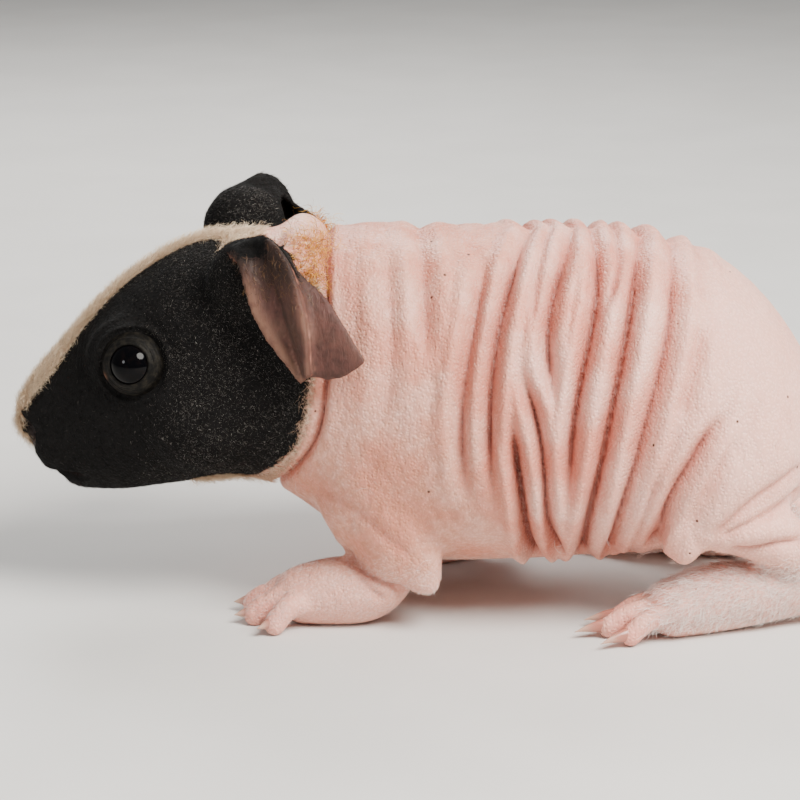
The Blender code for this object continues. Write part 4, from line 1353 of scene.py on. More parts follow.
    def press_folds(self, skin: Obj) -> None:
        """Press folds, creases, wrinkles and the muzzle in, and store how deep each place lies.

        Args:
            skin: The softened skin.
        """
        press = Press(skin)
        points, normals = press.points, press.normals
        above_legs = ramp(points[:, 2], 4.5 * MM, 7.0 * MM)
        off_ears = 1 - self.ear_nearness(points, 1.6 * MM)
        rng = np.random.default_rng(11)
        for side in Side:
            on_side = off_ears * ramp(side.value * points[:, 1], -1.0 * MM, 1.0 * MM)
            off_spine = 1 - 0.4 * ramp(normals[:, 2], 0.8, 1.0)
            for fold in self.folds.flank:
                ends = (0.25 if fold[0] else 0.0, 0.05 if fold[1] > 0.77 else 0.25)
                depth, width = self.fold_depth * fold[6] * MM, self.fold_width * fold[7] * MM
                press.valley(self.folds.path(fold, self.body, side), depth, width,
                             above_legs * on_side * off_spine, ends, self.fold_bank)
            fore, hind = self.limbs.shifts(side)
            outward = ramp(side.value * normals[:, 1], 0.0, 0.35)
            for line, depth, width in self.folds.limb:
                path = smooth_path(np.array(line) * MM, 24)
                path[:, 0] += fore * 0.7 if path[0, 0] < 0 else hind
                press.valley(path, self.crease_depth * depth * MM, width * MM, on_side * outward)
            for _ in range(self.folds.wrinkles):
                self.press_wrinkle(press, side, rng, above_legs * on_side)
        ring = points[:, 0] - self.folds.crease_x(points[:, 2])
        neck = off_ears * ramp(points[:, 2], 4.0 * MM, 8.0 * MM)
        line = self.folds.neck_depth * np.exp(-((np.abs(ring) / self.folds.neck_width) ** 1.2))
        blush = self.folds.blush * bell(ring - 2.4 * MM, 2.2 * MM) * ramp(points[:, 2], 30 * MM, 42 * MM)
        press.pressed += (line * neck) ** press.power + (blush * neck) ** press.power
        # The depth kept here, with the neck crease and the dip behind it, makes the valleys redder and
        # darker; the darkening is painted shade
        press.write("flush_and_shade")
        self.press_muzzle(skin)

    def press_wrinkle(self, press: Press, side: Side, rng: np.random.Generator, where: Array) -> None:
        """One small wrinkle across the trunk, at a place chosen by chance.

        Args:
            press: What gathers the valleys.
            side: Side of the body.
            rng: Source of chance.
            where: How much of it shows, one value a vertex.
        """
        x = rng.uniform(-13 * MM, 60 * MM)
        turn = rng.uniform(0.03, 0.72)
        reach = rng.uniform(0.03, 0.11)
        slant = rng.normal(0.0, 1.6 * MM) + (rng.uniform(-0.5, 0.1) * reach * 20 * MM)
        t = np.linspace(0, 1, 7)
        xs = x + slant * (t - 0.5) + 0.35 * MM * np.sin(5 * t + rng.uniform(0, 6))
        turns = turn + reach * (t - 0.5)
        path = press.onto(self.body.flank_point(np.clip(xs, -14 * MM, 62 * MM), turns, side))
        depth = (1 - 0.5 * ramp(x, 40 * MM, 52 * MM)) * rng.uniform(0.14, 0.34) * MM
        width = rng.uniform(0.45, 0.8) * MM
        press.valley(path, depth, width, where, (0.35, 0.35), 0.4)

    def press_muzzle(self, skin: Obj) -> None:
        """Press the nostrils, the groove under the nose and the mouth in, and store where they are.

        Args:
            skin: The folded skin.
        """
        press, muzzle = Press(skin), self.muzzle
        whole = np.ones(len(press.points))

        def cut(path: Array, count: int, sizes: tuple) -> None:
            """Press one groove in, along a path laid onto the skin."""
            depth, width, ends, bank = sizes
            press.valley(press.onto(smooth_path(path, count)), depth * MM, width * MM, whole, ends, bank)

        for side in Side:
            turn = (1, side.value, 1)
            cut(muzzle.nostril * turn, 16, muzzle.nostril_cut)
            cut(muzzle.mouth * turn, 24, muzzle.mouth_cut)
            pad = np.linalg.norm(press.points - np.array(muzzle.whisker_pad) * turn, axis=1)
            press.banked = np.maximum(press.banked, muzzle.pad_rise * bell(pad, muzzle.pad_size))
        cut(muzzle.philtrum, 12, muzzle.philtrum_cut)
        # The depth kept here darkens the slits as painted shade
        press.write("slit")

    def mark(self, skin: Obj) -> None:
        """Store the markings on the skin. Bare numbers of place are millimetres.

        Args:
            skin: The skin, with its last triangles.
        """
        points, normals = read_points(skin.data), read_points(skin.data, "normal")
        markings = Markings(self.folds, points)
        ears = self.ear_nearness(points, 1.3 * MM)
        x, y, z = points.T / MM
        far = y > 0
        ragged = 0.7 * np.sin(x / 0.8) * np.sin(y / 1.1 + 1)
        height = z - np.where(far, self.ear.far_lift.z / MM, 0) + ragged
        inward = 1 - ramp(np.sign(y) * normals[:, 1], -0.15, 0.35)
        near_arch = ramp(height, 57.5, 61.5) * (1 - ramp(x, -26, -21.5))
        arch = np.where(far, ramp(height, 55.5, 60.5), near_arch)
        crown = ears * np.maximum(inward * ramp(height, 49, 54), arch)
        black = markings.black() * (1 - ramp(ears, 0.5, 0.9))
        folded = points * np.stack([1 + 0 * x, np.sign(y), 1 + 0 * x], axis=1)
        leather = 0 * x
        muzzle = self.muzzle
        for path, reach in ((muzzle.nostril, 1.7), (muzzle.philtrum, 1.1), (muzzle.mouth, 0.9)):
            away = path_distance(folded, smooth_path(path, 12))[0] / MM
            leather = np.maximum(leather, 1 - ramp(away, 0.4 * reach, reach))
        rim, lobe = self.ear_marks(points)
        tips = (1 - ramp(z, 3, 5.5)) * np.maximum(bell(x + 24.5, 4), bell(x - 31.5, 3.5))
        marks = {
            "ear": ears,
            "black": np.maximum(black, crown),
            "cream": markings.cream() * (1 - ramp(ears, 0.05, 0.3)) * (1 - leather),
            "leather": leather,
            # Tan of the shoulder, fading upward so that the low chest is darker: painted shade
            "tan": (1 - ramp(x, 0, 24)) * (1 - 0.45 * ramp(z, 24, 48)) * ramp(z, 5, 13),
            "pale": np.maximum(ramp(x, 24, 50), 0.6 * (1 - ramp(z, 8, 13))),
            "toe": 0.4 * tips,
            # Paler ear edges, partly painted highlight
            "rim": rim * (1 - ramp(height, 52, 57.5)),
            # Dark front lobe, partly painted shade
            "lobe": np.maximum(lobe, ears * ramp(height, 52.5, 59.5)),
        }
        for name, values in marks.items():
            write_attribute(skin.data, name, values)

    def ear_marks(self, points: Array) -> tuple[Array, Array]:
        """Markings of the ears.

        Args:
            points: Vertices of the skin.

        Returns:
            How much each place belongs to the paler edges, with their painted highlight, and to the dark
            front lobe, with its painted shade.
        """
        rim, lobe = np.zeros(len(points)), np.zeros(len(points))
        cells = self.ear.cells
        middle, first = round(self.ear.ridge_at * cells), cells // 4
        for side in Side:
            sheet = self.ear.grid(side)
            # Paler lines: the front roll's own tan, and thin painted highlight along the ridge, the rear
            # edge and the free edge
            edges = ((sheet[first:, 1], 0.85, 0.5, 1.9), (sheet[first:, middle], 0.3, 0.2, 0.7),
                     (sheet[first:, -1], 0.4, 0.2, 0.6), (sheet[-1], 0.4, 0.2, 0.6))
            # Darker lines: painted shade in the hollow near the top and in the groove between the front
            # roll and the inner lobe, and the darker inside of the lobe
            hollows = ((sheet[cells // 6:cells // 2, cells // 4], 0.9, 0.6, 2.6),
                       (sheet[cells // 3:round(0.85 * cells), cells // 3], 1.0, 0.3, 1.1),
                       (sheet[cells // 3:, round(0.4 * cells)], 0.45, 0.8, 2.0))
            for lines, mark in ((edges, rim), (hollows, lobe)):
                for line, share, near, reach in lines:
                    away = path_distance(points, line)[0] / MM
                    np.maximum(mark, share * (1 - ramp(away, near, reach)), out=mark)
        return rim, lobe


# The coat


@dataclass(frozen=True)
class Growth:
    """One kind of hair: how much of it, its sizes in millimetres and how it lies."""

    name: str
    count: int
    shortest: float
    longest: float
    width: float
    joints: int
    lift: float
    scatter: float
    curl: float = 0.0
    odd_share: float = 0.0
    seed: int = 1

    @property
    def triangles(self) -> int:
        """Triangles of one hair."""
        return 2 * self.joints - 1


class Ground:
    """The skin's surface, from which hairs grow."""

    def __init__(self, skin: Obj) -> None:
        """Read the skin's triangles, normals, markings and bake map.

        Args:
            skin: The finished skin.
        """
        mesh = skin.data
        mesh.calc_loop_triangles()
        count = len(mesh.loop_triangles)
        self.corners = np.empty(count * 3, np.int64)
        mesh.loop_triangles.foreach_get("vertices", self.corners)
        self.corners = self.corners.reshape(-1, 3)
        loops = np.empty(count * 3, np.int64)
        mesh.loop_triangles.foreach_get("loops", loops)
        flat = np.empty(len(mesh.loops) * 2)
        mesh.uv_layers[BAKE_MAP].data.foreach_get("uv", flat)
        self.flat = flat.reshape(-1, 2)[loops.reshape(-1, 3)]
        self.points, self.normals = read_points(mesh), read_points(mesh, "normal")
        a, b, c = (self.points[self.corners[:, i]] for i in range(3))
        self.areas = 0.5 * np.linalg.norm(np.cross(b - a, c - a), axis=1)
        self.mesh = mesh

    def marking(self, name: str) -> Array:
        """A stored marking, one value a vertex.

        Args:
            name: Name of the marking.

        Returns:
            The values.
        """
        values = np.empty(len(self.points))
        self.mesh.attributes[name].data.foreach_get("value", values)
        return values

    def roots(self, density: Array, count: int, rng: np.random.Generator) -> tuple[Array, Array, Array]:
        """Random places on the skin, more where the density is higher.

        Args:
            density: Wanted density, one value a vertex.
            count: How many places.
            rng: Source of chance.

        Returns:
            Places, normals, and places on the bake map.
        """
        weight = self.areas * density[self.corners].mean(axis=1)
        total = np.cumsum(weight)
        chosen = np.searchsorted(total, rng.random(count) * total[-1])
        chosen = np.minimum(chosen, len(total) - 1)
        share = rng.dirichlet((1, 1, 1), count)
        mixed = [np.einsum("ij,ijk->ik", share, source[self.corners[chosen]])
                 for source in (self.points, self.normals)]
        mixed[1] /= np.linalg.norm(mixed[1], axis=1)[:, None]
        return mixed[0], mixed[1], np.einsum("ij,ijk->ik", share, self.flat[chosen])


class Coat:
    """Grows hairs as thin tapering strips."""

    patch: float = 0.003
    bury: float = 0.08 * MM
    over_floor: float = 0.03 * MM
    droop: float = 0.45
    sweep: float = 0.3
    taper: float = 0.55
    twist: float = 1.1
    flow_cell: float = 3 * MM

    def __init__(self, ground: Ground) -> None:
        """Keep the surface that the hairs grow from."""
        self.ground = ground

    def grow(self, growth: Growth, density: Array, flow: Array) -> Obj:
        """One piece of coat.

        Args:
            growth: Kind of hair.
            density: Where it grows, one value a vertex.
            flow: Which way it lies, one row a vertex.

        Returns:
            The piece of coat.
        """
        rng = np.random.default_rng(growth.seed)
        count, joints = growth.count, growth.joints
        roots, normals, flat = self.ground.roots(density, count, rng)
        near = self.nearest_flow(roots, flow)
        turn = rng.normal(0, growth.scatter, count)
        along = near - (near * normals).sum(axis=1)[:, None] * normals
        along /= np.linalg.norm(along, axis=1)[:, None] + 1e-9
        side = np.cross(normals, along)
        along = np.cos(turn)[:, None] * along + np.sin(turn)[:, None] * side
        side = np.cross(normals, along)
        twist = rng.uniform(-self.twist, self.twist, count)[:, None]
        across = np.cos(twist) * side + np.sin(twist) * normals
        length = rng.uniform(growth.shortest * MM, growth.longest * MM, count)[:, None]
        lift = np.clip(rng.normal(growth.lift, 0.25 * growth.lift, count), 0.05, 1.5)[:, None]
        phase = rng.uniform(0, 2 * math.pi, count)[:, None]
        rows = []
        for joint in range(joints + 1):
            t = joint / joints
            rise = np.sin(lift) * t * (1 - self.droop * t)
            reach = np.cos(lift) * t + self.sweep * t * t
            wave = growth.curl * t * (np.sin(phase + 7 * t) * side + np.cos(phase + 7 * t) * normals)
            centre = roots - self.bury * normals + length * (reach * along + rise * normals + wave)
            half = 0.5 * growth.width * MM * (1 - self.taper * t)
            rows.append([centre - half * across, centre + half * across] if joint < joints else [centre])
        points = np.stack([point for row in rows for point in row], axis=1)
        points[:, :, 2] = np.maximum(points[:, :, 2], self.over_floor)
        return self.assemble(growth, points, flat, rng)

    def nearest_flow(self, roots: Array, flow: Array) -> Array:
        """The lie of the hair at the roots, read from a coarse grid of the skin.

        Args:
            roots: Where the hairs grow.
            flow: Lie of the hair, one row a vertex.

        Returns:
            One direction a root, of any length.
        """
        cell = self.flow_cell
        low = self.ground.points.min(axis=0)
        shape = np.ceil((self.ground.points.max(axis=0) - low) / cell).astype(int) + 1
        index = np.ravel_multi_index(tuple(((self.ground.points - low) / cell).astype(int).T), shape)
        size = int(np.prod(shape))
        sums = np.stack([np.bincount(index, flow[:, i], size) for i in range(3)], axis=1)
        at = np.ravel_multi_index(tuple(np.clip(((roots - low) / cell).astype(int), 0, shape - 1).T), shape)
        return sums[at] + 1e-6

    def assemble(self, growth: Growth, points: Array, flat: Array, rng: np.random.Generator) -> Obj:
        """Join the hairs to one mesh with its bake map and tints.

        Args:
            growth: Kind of hair.
            points: Corners of every hair.
            flat: Places of the roots on the bake map.
            rng: Source of chance.

        Returns:
            The piece of coat.
        """
        count, corners, joints = growth.count, points.shape[1], growth.joints
        faces = []
        for joint in range(joints - 1):
            a = 2 * joint
            faces += [(a, a + 1, a + 3), (a, a + 3, a + 2)]
        last = 2 * (joints - 1)
        faces.append((last, last + 1, last + 2))
        faces = np.array(faces)
        index = (np.arange(count)[:, None, None] * corners + faces[None]).reshape(-1)
        mesh = bpy.data.meshes.new(growth.name)
        mesh.vertices.add(count * corners)
        mesh.vertices.foreach_set("co", points.reshape(-1))
        mesh.loops.add(len(index))
        mesh.loops.foreach_set("vertex_index", index)
        mesh.polygons.add(len(index) // 3)
        mesh.polygons.foreach_set("loop_start", np.arange(0, len(index), 3))
        mesh.update(calc_edges=True)
        t = np.repeat(np.arange(joints + 1) / joints, 2)[:corners]
        sway = np.tile((-0.5, 0.5), joints + 1)[:corners]
        place = flat[:, None] + self.patch * np.stack([sway, t - 0.5], axis=1)[None]
        bake = mesh.uv_layers.new(name=BAKE_MAP)
        bake.data.foreach_set("uv", place.reshape(-1, 2)[index].reshape(-1))
        write_attribute(mesh, "along", np.tile(t, count))
        # A share of the hairs takes the finish's extra tint: darker stray hairs in most finishes, painted
        # glints in the velvet
        odd_and_glint = (rng.random(count) < growth.odd_share) * rng.uniform(0.3, 1.0, count)
        write_attribute(mesh, "odd_and_glint", np.repeat(odd_and_glint, corners))
        coat = bpy.data.objects.new(growth.name, mesh)
        bpy.context.scene.collection.objects.link(coat)
        return coat


@dataclass
class Pelt:
    """Every piece of coat, with where it grows, how it lies and its finish."""

    skin: Skin
    # The few grey hairs of the black velvet and the pale tips of the glint hairs are painted glints
    black: HairFinish = HairFinish("velvet_black", (0.002, 0.0018, 0.0016), (0.006, 0.005, 0.0045),
                                   (0.10, 0.09, 0.08), 0.6, 0.06)
    glint: HairFinish = HairFinish("velvet_glint", (0.02, 0.017, 0.015), (0.17, 0.148, 0.125),
                                   (0.50, 0.46, 0.41), 0.35, 0.4)
    brown: HairFinish = HairFinish("ear_brown_hair", (0.05, 0.022, 0.01), (0.26, 0.13, 0.05),
                                   (0.02, 0.012, 0.01))
    cream: HairFinish = HairFinish("blaze_cream", (0.52, 0.32, 0.18), (0.96, 0.82, 0.61),
                                   (0.12, 0.08, 0.05))
    gold: HairFinish = HairFinish("nape_gold", (0.45, 0.17, 0.025), (0.82, 0.43, 0.09),
                                  (0.28, 0.10, 0.02))
    tan: HairFinish = HairFinish("fringe_tan", (0.38, 0.20, 0.12), (0.78, 0.55, 0.39),
                                 (0.05, 0.03, 0.02))
    pale: HairFinish = HairFinish("down_pale", (0.62, 0.30, 0.21), (0.97, 0.84, 0.74),
                                  (0.14, 0.06, 0.035))
    white: HairFinish = HairFinish("foot_white", (0.62, 0.38, 0.30), (0.99, 0.96, 0.93),
                                   (0.36, 0.22, 0.15))

    def regions(self, ground: Ground) -> dict[str, Array]:
        """Where each piece of coat grows. Bare numbers of place are millimetres.

        Args:
            ground: The skin's surface.

        Returns:
            The density of each piece by its name, one value a vertex.
        """
        points, normals = ground.points, ground.normals
        x, y, z = points.T / MM
        side, aside = np.sign(y), np.abs(y)
        black, cream, ear = (ground.marking(name) for name in ("black", "cream", "ear"))
        off_eyes = ramp(orbit_distance(points, self.skin.eye), 4.7 * MM, 5.3 * MM)
        off_nose = (1 - ramp(ground.marking("slit"), 0.25, 0.45)) * (1 - ground.marking("leather"))
        velvet = ramp(black, 0.3, 0.7) * off_eyes * off_nose
        patches = 0.5 + 0.5 * np.sin(x / 2.1 + 2.2 * np.sin(z / 3.7)) * np.cos(z / 2.9)
        cheek = velvet * ramp(x, -47, -36) * (0.35 + 0.65 * patches) * (1 - ear)
        blaze = ramp(cream, 0.4, 0.7) * (1 - ramp(black, 0.3, 0.7)) * (1 - ear) * off_nose
        fringe = ramp(x, -32, -27) * (1 - ramp(z, 49, 54))
        nape = bell(x + 18, 2.3) * ramp(z, 50.5, 54) * (1 - ramp(z, 59.6, 61))
        nape *= ramp(aside, 3, 6) * (1 - ramp(aside, 14.5, 17)) * np.where(y < 0, 1, ramp(x, -17.4, -16))
        nape *= (1 - black) * (1 - ramp(ear, 0.0, 0.1))
        outside = ramp(side * normals[:, 1], 0.1, 0.5)
        feet = (1 - ramp(z, 9, 13)) * ramp(z, 1.2, 3.0)
        behind_crease = ramp(x - self.skin.folds.crease_x(points[:, 2]) / MM, -1, 0.5)
        bare = (1 - ramp(black, 0.2, 0.5)) * (1 - ear) * behind_crease
        front = 1 - ramp(x, 2, 24)
        return {
            "coat_velvet_fine": velvet,
            "coat_velvet_long": velvet,
            "coat_glint": cheek,
            "coat_blaze": blaze * (1 - fringe),
            "coat_blaze_long": blaze * ramp(-x, 24, 34),
            "coat_fringe": blaze * fringe,
            "coat_nape": nape,
            "coat_ear": ear * outside * ramp(z, 53, 56) * (1 - ramp(black, 0.2, 0.6)),
            "coat_down_front": bare * front,
            "coat_down_rear": bare * (1.1 - front),
            "coat_hind_feet": feet * ramp(x, 33, 40),
            "coat_fore_feet": feet * (1 - ramp(x, 5, 9)),
            "coat_stray": bare * (1 - ramp(z, 20, 46)),
        }

    def lies(self, ground: Ground) -> list[Array]:
        """The ways in which hair lies: back, down, towards the toes and up the nape.

        Args:
            ground: The skin's surface.

        Returns:
            The four ways, each with one row a vertex.
        """
        side, zero = np.sign(ground.points[:, 1]), np.zeros(len(ground.points))
        back = np.stack([zero + 1.0, 0.25 * side, -0.45 * np.abs(ground.normals[:, 1])], axis=1)
        ways = ((0.55, 0.15, -0.8), (-1.0, 0.1, -0.5), (0.4, -0.2, 0.7))
        return [back] + [np.stack([zero + a, b * side, zero + c], axis=1) for a, b, c in ways]

    def build(self, skin: Obj) -> list[Obj]:
        """Grow the whole coat.

        Args:
            skin: The finished skin.

        Returns:
            The pieces of coat with their finishes.
        """
        ground = Ground(skin)
        coat, density = Coat(ground), self.regions(ground)
        back, down, to_toes, up_nape = self.lies(ground)
        # Lie, finish, name, count, shortest, longest, width, joints, lift, scatter, curl, share of oddly
        # tinted hairs and painted glints, seed
        plan = (
            (back, self.black, "coat_velvet_fine", 180000, 0.30, 0.62, 0.050, 1, 0.46, 0.5, 0.0, 0.03, 3),
            (back, self.black, "coat_velvet_long", 50000, 0.50, 1.05, 0.048, 2, 0.50, 0.55, 0.05, 0.015, 4),
            (back, self.glint, "coat_glint", 28000, 0.30, 0.60, 0.042, 2, 0.55, 1.0, 0.0, 0.12, 15),
            (back, self.cream, "coat_blaze", 52000, 0.8, 1.9, 0.060, 2, 0.58, 0.75, 0.10, 0.03, 5),
            (back, self.cream, "coat_blaze_long", 11000, 1.5, 2.9, 0.065, 3, 0.95, 0.8, 0.12, 0.05, 14),
            (down, self.tan, "coat_fringe", 9000, 0.8, 1.6, 0.055, 2, 0.50, 0.7, 0.10, 0.10, 17),
            (up_nape, self.gold, "coat_nape", 480, 2.0, 3.6, 0.115, 10, 0.50, 1.3, 0.42, 0.15, 6),
            (down, self.brown, "coat_ear", 520, 0.7, 1.5, 0.060, 3, 0.45, 0.8, 0.15, 0.3, 16),
            (down, self.pale, "coat_down_front", 110000, 0.35, 0.85, 0.026, 1, 0.36, 0.5, 0.0, 0.02, 7),
            (down, self.pale, "coat_down_rear", 90000, 0.25, 0.60, 0.018, 1, 0.36, 0.5, 0.0, 0.01, 8),
            (to_toes, self.white, "coat_hind_feet", 22000, 1.1, 2.4, 0.065, 3, 0.48, 0.6, 0.12, 0.02, 9),
            (to_toes, self.white, "coat_fore_feet", 14000, 0.5, 1.1, 0.038, 2, 0.35, 0.5, 0.0, 0.03, 10),
            (down, self.white, "coat_stray", 90, 2.0, 5.0, 0.05, 10, 0.5, 0.9, 0.22, 0.2, 13),
        )
        made = []
        for flow, finish, *sizes in plan:
            growth = Growth(*sizes)
            piece = coat.grow(growth, density[growth.name], flow)
            piece.data.materials.append(finish.material())
            made.append(piece)
            LOG.info("%s: %d triangles", growth.name, growth.count * growth.triangles)
        return made


# Eyes, lids and claws


@dataclass
class Eye:
    """One eye with its lids."""

    side: Side
    form: EyeForm = field(default_factory=EyeForm)
    lid_width: float = 2.0 * MM
    lid_thickness: float = 0.35 * MM
    lid_edge: float = 1.6 * MM
    lid_sink: float = 0.1 * MM
    bulge: float = 0.18 * MM
    duct_place: tuple[float, float] = (-4.45 * MM, -1.95 * MM)
    duct_size: float = 0.55 * MM
    # Ridges of the lids: distance from the inner edge, height and width in millimetres
    margin: Triple = (0.28, 0.20, 0.26)
    upper_fold: Triple = (1.1, 0.16, 0.34)
    bag: Triple = (1.3, 0.24, 0.38)
    wrinkle_spacing: float = 0.34 * MM
    wrinkle_height: float = 0.075 * MM

    def place(self, piece: Obj) -> Obj:
        """Turn a piece modelled upright to look along the eye's axis, and set it in its place.

        Args:
            piece: The piece, round the origin.

        Returns:
            The same piece.
        """
        centre, turn = self.form.on(self.side)[0], self.form.turn(self.side)
        piece.matrix_world = Matrix.Translation(centre) @ turn.to_4x4()
        settle(piece)
        bpy.ops.object.shade_smooth()
        return piece

    def globe(self) -> Obj:
        """The eyeball, with the clear front a little bulged.

        Returns:
            The eyeball.
        """
        deselect_all()
        bpy.ops.mesh.primitive_uv_sphere_add(segments=64, ring_count=48, radius=self.form.radius)
        globe = bpy.context.object
        globe.name = f"eyeball_{self.side.word}"
        points = read_points(globe.data)
        front = ramp(points[:, 2] / self.form.radius, 0.45, 1.0)
        points[:, 2] += self.bulge * front
        write_points(globe.data, points)
        return self.place(globe)

    def lid(self, skin: Obj) -> Obj:
        """The lids, a ring that hugs the skin, with a thick margin, fine folds and a bag below.

        Args:
            skin: The finished skin.

        Returns:
            The ring.
        """
        inner, outer = self.form.opening, self.form.opening + self.lid_width
        deselect_all()
        middle, half = 0.5 * (inner + outer), 0.5 * (outer - inner)
        bpy.ops.mesh.primitive_torus_add(major_segments=160, minor_segments=56,
                                         major_radius=middle, minor_radius=half)
        ring = bpy.context.object
        ring.name = f"lid_{self.side.word}"
        points = read_points(ring.data)
        reach, angle = np.hypot(points[:, 0], points[:, 1]), np.arctan2(points[:, 1], points[:, 0])
        layer = 2 * points[:, 2] / self.lid_width
        above = np.where(layer > 0, self.relief(reach - inner, angle), self.lid_thickness)
        points[:, 2] = self.hug(skin, reach, angle) + layer * above
        write_points(ring.data, points)
        along, below = self.duct_place
        duct = np.hypot(points[:, 0] - along, -self.side.value * points[:, 1] - below)
        write_attribute(ring.data, "duct", 0.8 * bell(duct, self.duct_size))
        return self.place(ring)

    def relief(self, across: Array, angle: Array) -> Array:
        """Height of the lids over the skin, by the distance from their inner edge.

        Args:
            across: Distances from the inner edge.
            angle: Angles round the eye.

        Returns:
            The heights.
        """
        upward = -self.side.value * np.sin(angle)
        wander = 0.9 * np.sin(2 * angle + 1) + 0.6 * np.sin(5 * angle)
        waves = np.sin(across * 2 * math.pi / self.wrinkle_spacing + wander)
        height = 0.10 * MM + self.wrinkle_height * waves * ramp(across, 0.5 * MM, 0.8 * MM)
        ridges = ((self.margin, 1.0), (self.upper_fold, ramp(upward, -0.2, 0.5)),
                  (self.bag, ramp(-upward, 0.1, 0.7)))
        for (place, rise, width), share in ridges:
            height += rise * MM * bell(across - place * MM, width * MM) * share
        edge = ramp(across, self.lid_edge, self.lid_width)
        return height * (1 - edge) - self.lid_sink * edge

    def hug(self, skin: Obj, reach: Array, angle: Array) -> Array:
        """Height of the lids' ground: from just over the eyeball it rounds off to the skin outside.

        Args:
            skin: The finished skin.
            reach: Distances from the eye's axis.
            angle: Angles round it.

        Returns:
            The heights, from the eye's centre.
        """
        centre, axis = self.form.on(self.side)
        turn = self.form.turn(self.side)
        outer = self.form.opening + self.lid_width
        knots = np.linspace(-math.pi, math.pi, 73)
        heights = []
        for bearing in knots:
            start = centre + turn @ Vector((outer * math.cos(bearing), outer * math.sin(bearing), 10 * MM))
            hit, place, _, _ = skin.ray_cast(start, -axis)
            heights.append((place - centre).dot(axis) if hit else 0.0)
        outside = np.interp(angle, knots, heights)
        inside = math.sqrt(self.form.radius**2 - self.form.opening**2) + 0.12 * MM
        t = np.clip((reach - self.form.opening) / self.lid_width, 0, 1)
        return outside + (inside - outside) * (1 - t**1.8)


@dataclass
class Claws:
    """The claws of the feet, each bent down to a blunt point."""

    limbs: LimbForm = field(default_factory=LimbForm)
    fore_length: float = 2.4 * MM
    hind_length: float = 4.6 * MM
    root_radius: float = 1.15 * MM
    sink: float = 0.7 * MM
    bend: float = 0.16
    flatness: float = 0.8
    fullness: float = 1.7
    tip_share: float = 0.06
    over_toe_tip: float = 0.35 * MM
    over_floor: float = 0.15 * MM
    out_of_toe: float = 0.45

    def build(self) -> list[tuple[Obj, str]]:
        """All claws.

        Returns:
            Each claw with the name of the node that it replaces.
        """
        made = []
        for side in Side:
            fore, hind = self.limbs.shifts(side)
            for kind, toes, root, length, shift in (
                ("fore", self.limbs.fore_toes, self.limbs.fore_toe_root, self.fore_length, fore),
                ("hind", self.limbs.hind_toes, self.limbs.hind_toe_root, self.hind_length, hind),
            ):
                for number, (root_y, tip_x, tip_y, radius) in enumerate(toes, 1):
                    run = Vector((tip_x - root[0], side.value * (tip_y - root_y), 0)).normalized()
                    height = self.limbs.toe_tip_z + self.over_toe_tip
                    tip = Vector((tip_x + shift, side.value * tip_y, height))
                    claw = self.claw(tip + run * radius * self.out_of_toe, run, length)
                    claw.name = f"nail_{kind}_{side.word}_{number}"
                    made.append((claw, f"claw_{kind}_{side.word}_{number}"))
        return made

    def claw(self, root: Vector, run: Vector, length: float) -> Obj:
        """One claw, from a cylinder that is cut into rings, tapered and bent.

        Args:
            root: Where it comes out of the toe.
            run: The way the toe points.
            length: How far it stands out.

        Returns:
            The claw.
        """
        deselect_all()
        bpy.ops.mesh.primitive_cylinder_add(vertices=20, radius=1.0, depth=1.0, end_fill_type="NGON")
        claw = bpy.context.object
        builder = bmesh.new()
        builder.from_mesh(claw.data)
        sides = [edge for edge in builder.edges if abs(edge.verts[0].co.z - edge.verts[1].co.z) > 0.5]
        bmesh.ops.subdivide_edges(builder, edges=sides, cuts=12, use_grid_fill=False)
        builder.to_mesh(claw.data)
        builder.free()
        points = read_points(claw.data)
        t = points[:, 2] + 0.5
        taper = np.clip(1 - t**self.fullness, self.tip_share, 1)
        radius = self.root_radius * taper * (0.9 + 0.1 * np.cos(t * math.pi))
        across = run.cross(Vector((0, 0, 1))).normalized()
        up = across.cross(run)
        reach = length + self.sink
        place = (np.array(root) - np.array(run) * self.sink)[None] + np.outer(t * reach, run)
        place += np.outer(points[:, 0] * radius * self.flatness, across)
        place += np.outer(points[:, 1] * radius, up)
        place[:, 2] -= self.bend * length * t * t
        place[:, 2] = np.maximum(place[:, 2], self.over_floor)
        write_points(claw.data, place)
        write_attribute(claw.data, "core", 1 - ramp(t, 0.35, 0.8))
        activate(claw)
        bpy.ops.object.shade_smooth()
        return claw


# Studio


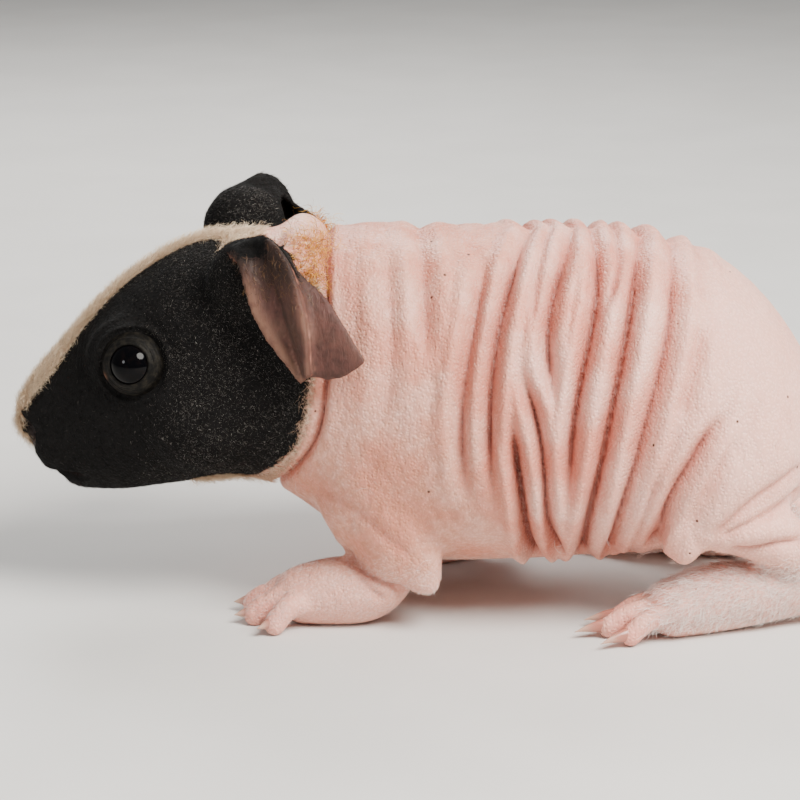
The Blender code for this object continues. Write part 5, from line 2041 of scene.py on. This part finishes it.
@dataclass
class Studio:
    """Plain pale floor, soft lights and the camera of the photograph."""

    target: Vector = field(default_factory=lambda: Vector((-3.4, 0.0, 31.9)) * MM)
    distance: float = 480 * MM
    elevation: float = math.radians(16)
    lens: float = 135.0
    # Name, place, size, power and colour
    lights: tuple = (
        ("key", (0.24, -0.24, 0.42), 0.28, 6.6, (1.0, 0.97, 0.92)),
        ("fill", (-0.42, -0.38, 0.22), 0.12, 0.7, (0.97, 0.98, 1.0)),
        ("window", (0.50, -0.02, 0.30), 0.40, 1.6, (1.0, 0.98, 0.95)),
        ("back", (-0.10, 0.40, 0.38), 0.28, 2.4, (1.0, 0.99, 0.97)),
    )
    room_colour: tuple = (0.90, 0.91, 0.93, 1)
    room_light: float = 0.27

    def build(self) -> None:
        """Add the floor, the lights, the surroundings and the camera."""
        self.floor()
        for row in self.lights:
            self.light(*row)
        world = bpy.data.worlds.new("studio")
        world.use_nodes = True
        background = world.node_tree.nodes["Background"]
        background.inputs["Color"].default_value = self.room_colour
        background.inputs["Strength"].default_value = self.room_light
        bpy.context.scene.world = world
        self.camera()

    def light(self, name: str, place: Triple, size: float, power: float,
              colour: Triple) -> None:
        """One round soft light that looks at the animal.

        Args:
            name: Name of the light.
            place: Where it hangs.
            size: How wide it is.
            power: Its power.
            colour: Its colour.
        """
        lamp = bpy.data.lights.new(name, "AREA")
        lamp.shape = "DISK"
        lamp.size, lamp.energy, lamp.color = size, power, colour
        holder = bpy.data.objects.new(name, lamp)
        bpy.context.scene.collection.objects.link(holder)
        holder.location = place
        holder.rotation_euler = (self.target - holder.location).to_track_quat("-Z", "Y").to_euler()

    def floor(self) -> None:
        """The pale floor."""
        deselect_all()
        bpy.ops.mesh.primitive_plane_add(size=6.0, location=(0, 0, 0))
        floor = bpy.context.object
        floor.name = "floor"
        paint = Paint("floor_pale")
        grain = paint.ramp(paint.noise(30 * MM, 4.0), 0.3, 0.7, 0.0, 1.0)
        paint.set(Base_Color=paint.mix(grain, (0.66, 0.645, 0.62), (0.69, 0.675, 0.65)), Roughness=0.75)
        floor.data.materials.append(paint.material)

    def camera(self) -> None:
        """The camera at the photograph's angle."""
        data = bpy.data.cameras.new("camera")
        data.lens = self.lens
        data.sensor_width = 36.0
        data.clip_start, data.clip_end = 0.01, 20.0
        camera = bpy.data.objects.new("camera", data)
        bpy.context.scene.collection.objects.link(camera)
        back = Vector((0, -math.cos(self.elevation), math.sin(self.elevation)))
        camera.location = self.target + back * self.distance
        camera.rotation_euler = (-back).to_track_quat("-Z", "Y").to_euler()
        bpy.context.scene.camera = camera


FLESH_NODES = ("head", "neck", "torso", "ear_left", "ear_right", "fore_leg_left", "fore_leg_right",
               "fore_paw_left", "fore_paw_right", "hind_leg_left", "hind_leg_right",
               "hind_foot_left", "hind_foot_right")


def main() -> None:
    """Build the animal and its studio in order."""
    logging.basicConfig(level=logging.INFO, format="%(message)s")
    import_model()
    Studio().build()

    form = Skin()
    skin = form.build()
    skin.data.materials.append(SkinFinish().material())
    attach(skin, BODY)
    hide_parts(*FLESH_NODES)
    LOG.info("skin: %d triangles", sum(len(face.vertices) - 2 for face in skin.data.polygons))

    for piece in Pelt(form).build(skin):
        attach(piece, BODY)

    eye_finish, lid_finish = EyeFinish().material(), LidFinish().material()
    for side in Side:
        eye = Eye(side)
        globe = eye.globe()
        globe.data.materials.append(eye_finish)
        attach(globe, BODY)
        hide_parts(f"eye_{side.word}")
        lid = eye.lid(skin)
        lid.data.materials.append(lid_finish)
        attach(lid, BODY)
        LOG.info("eye %s", side.word)

    claw_finish = ClawFinish().material()
    for claw, node in Claws().build():
        claw.data.materials.append(claw_finish)
        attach(claw, BODY)
        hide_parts(node)
    LOG.info("claws")


if __name__ == "__main__":
    main()
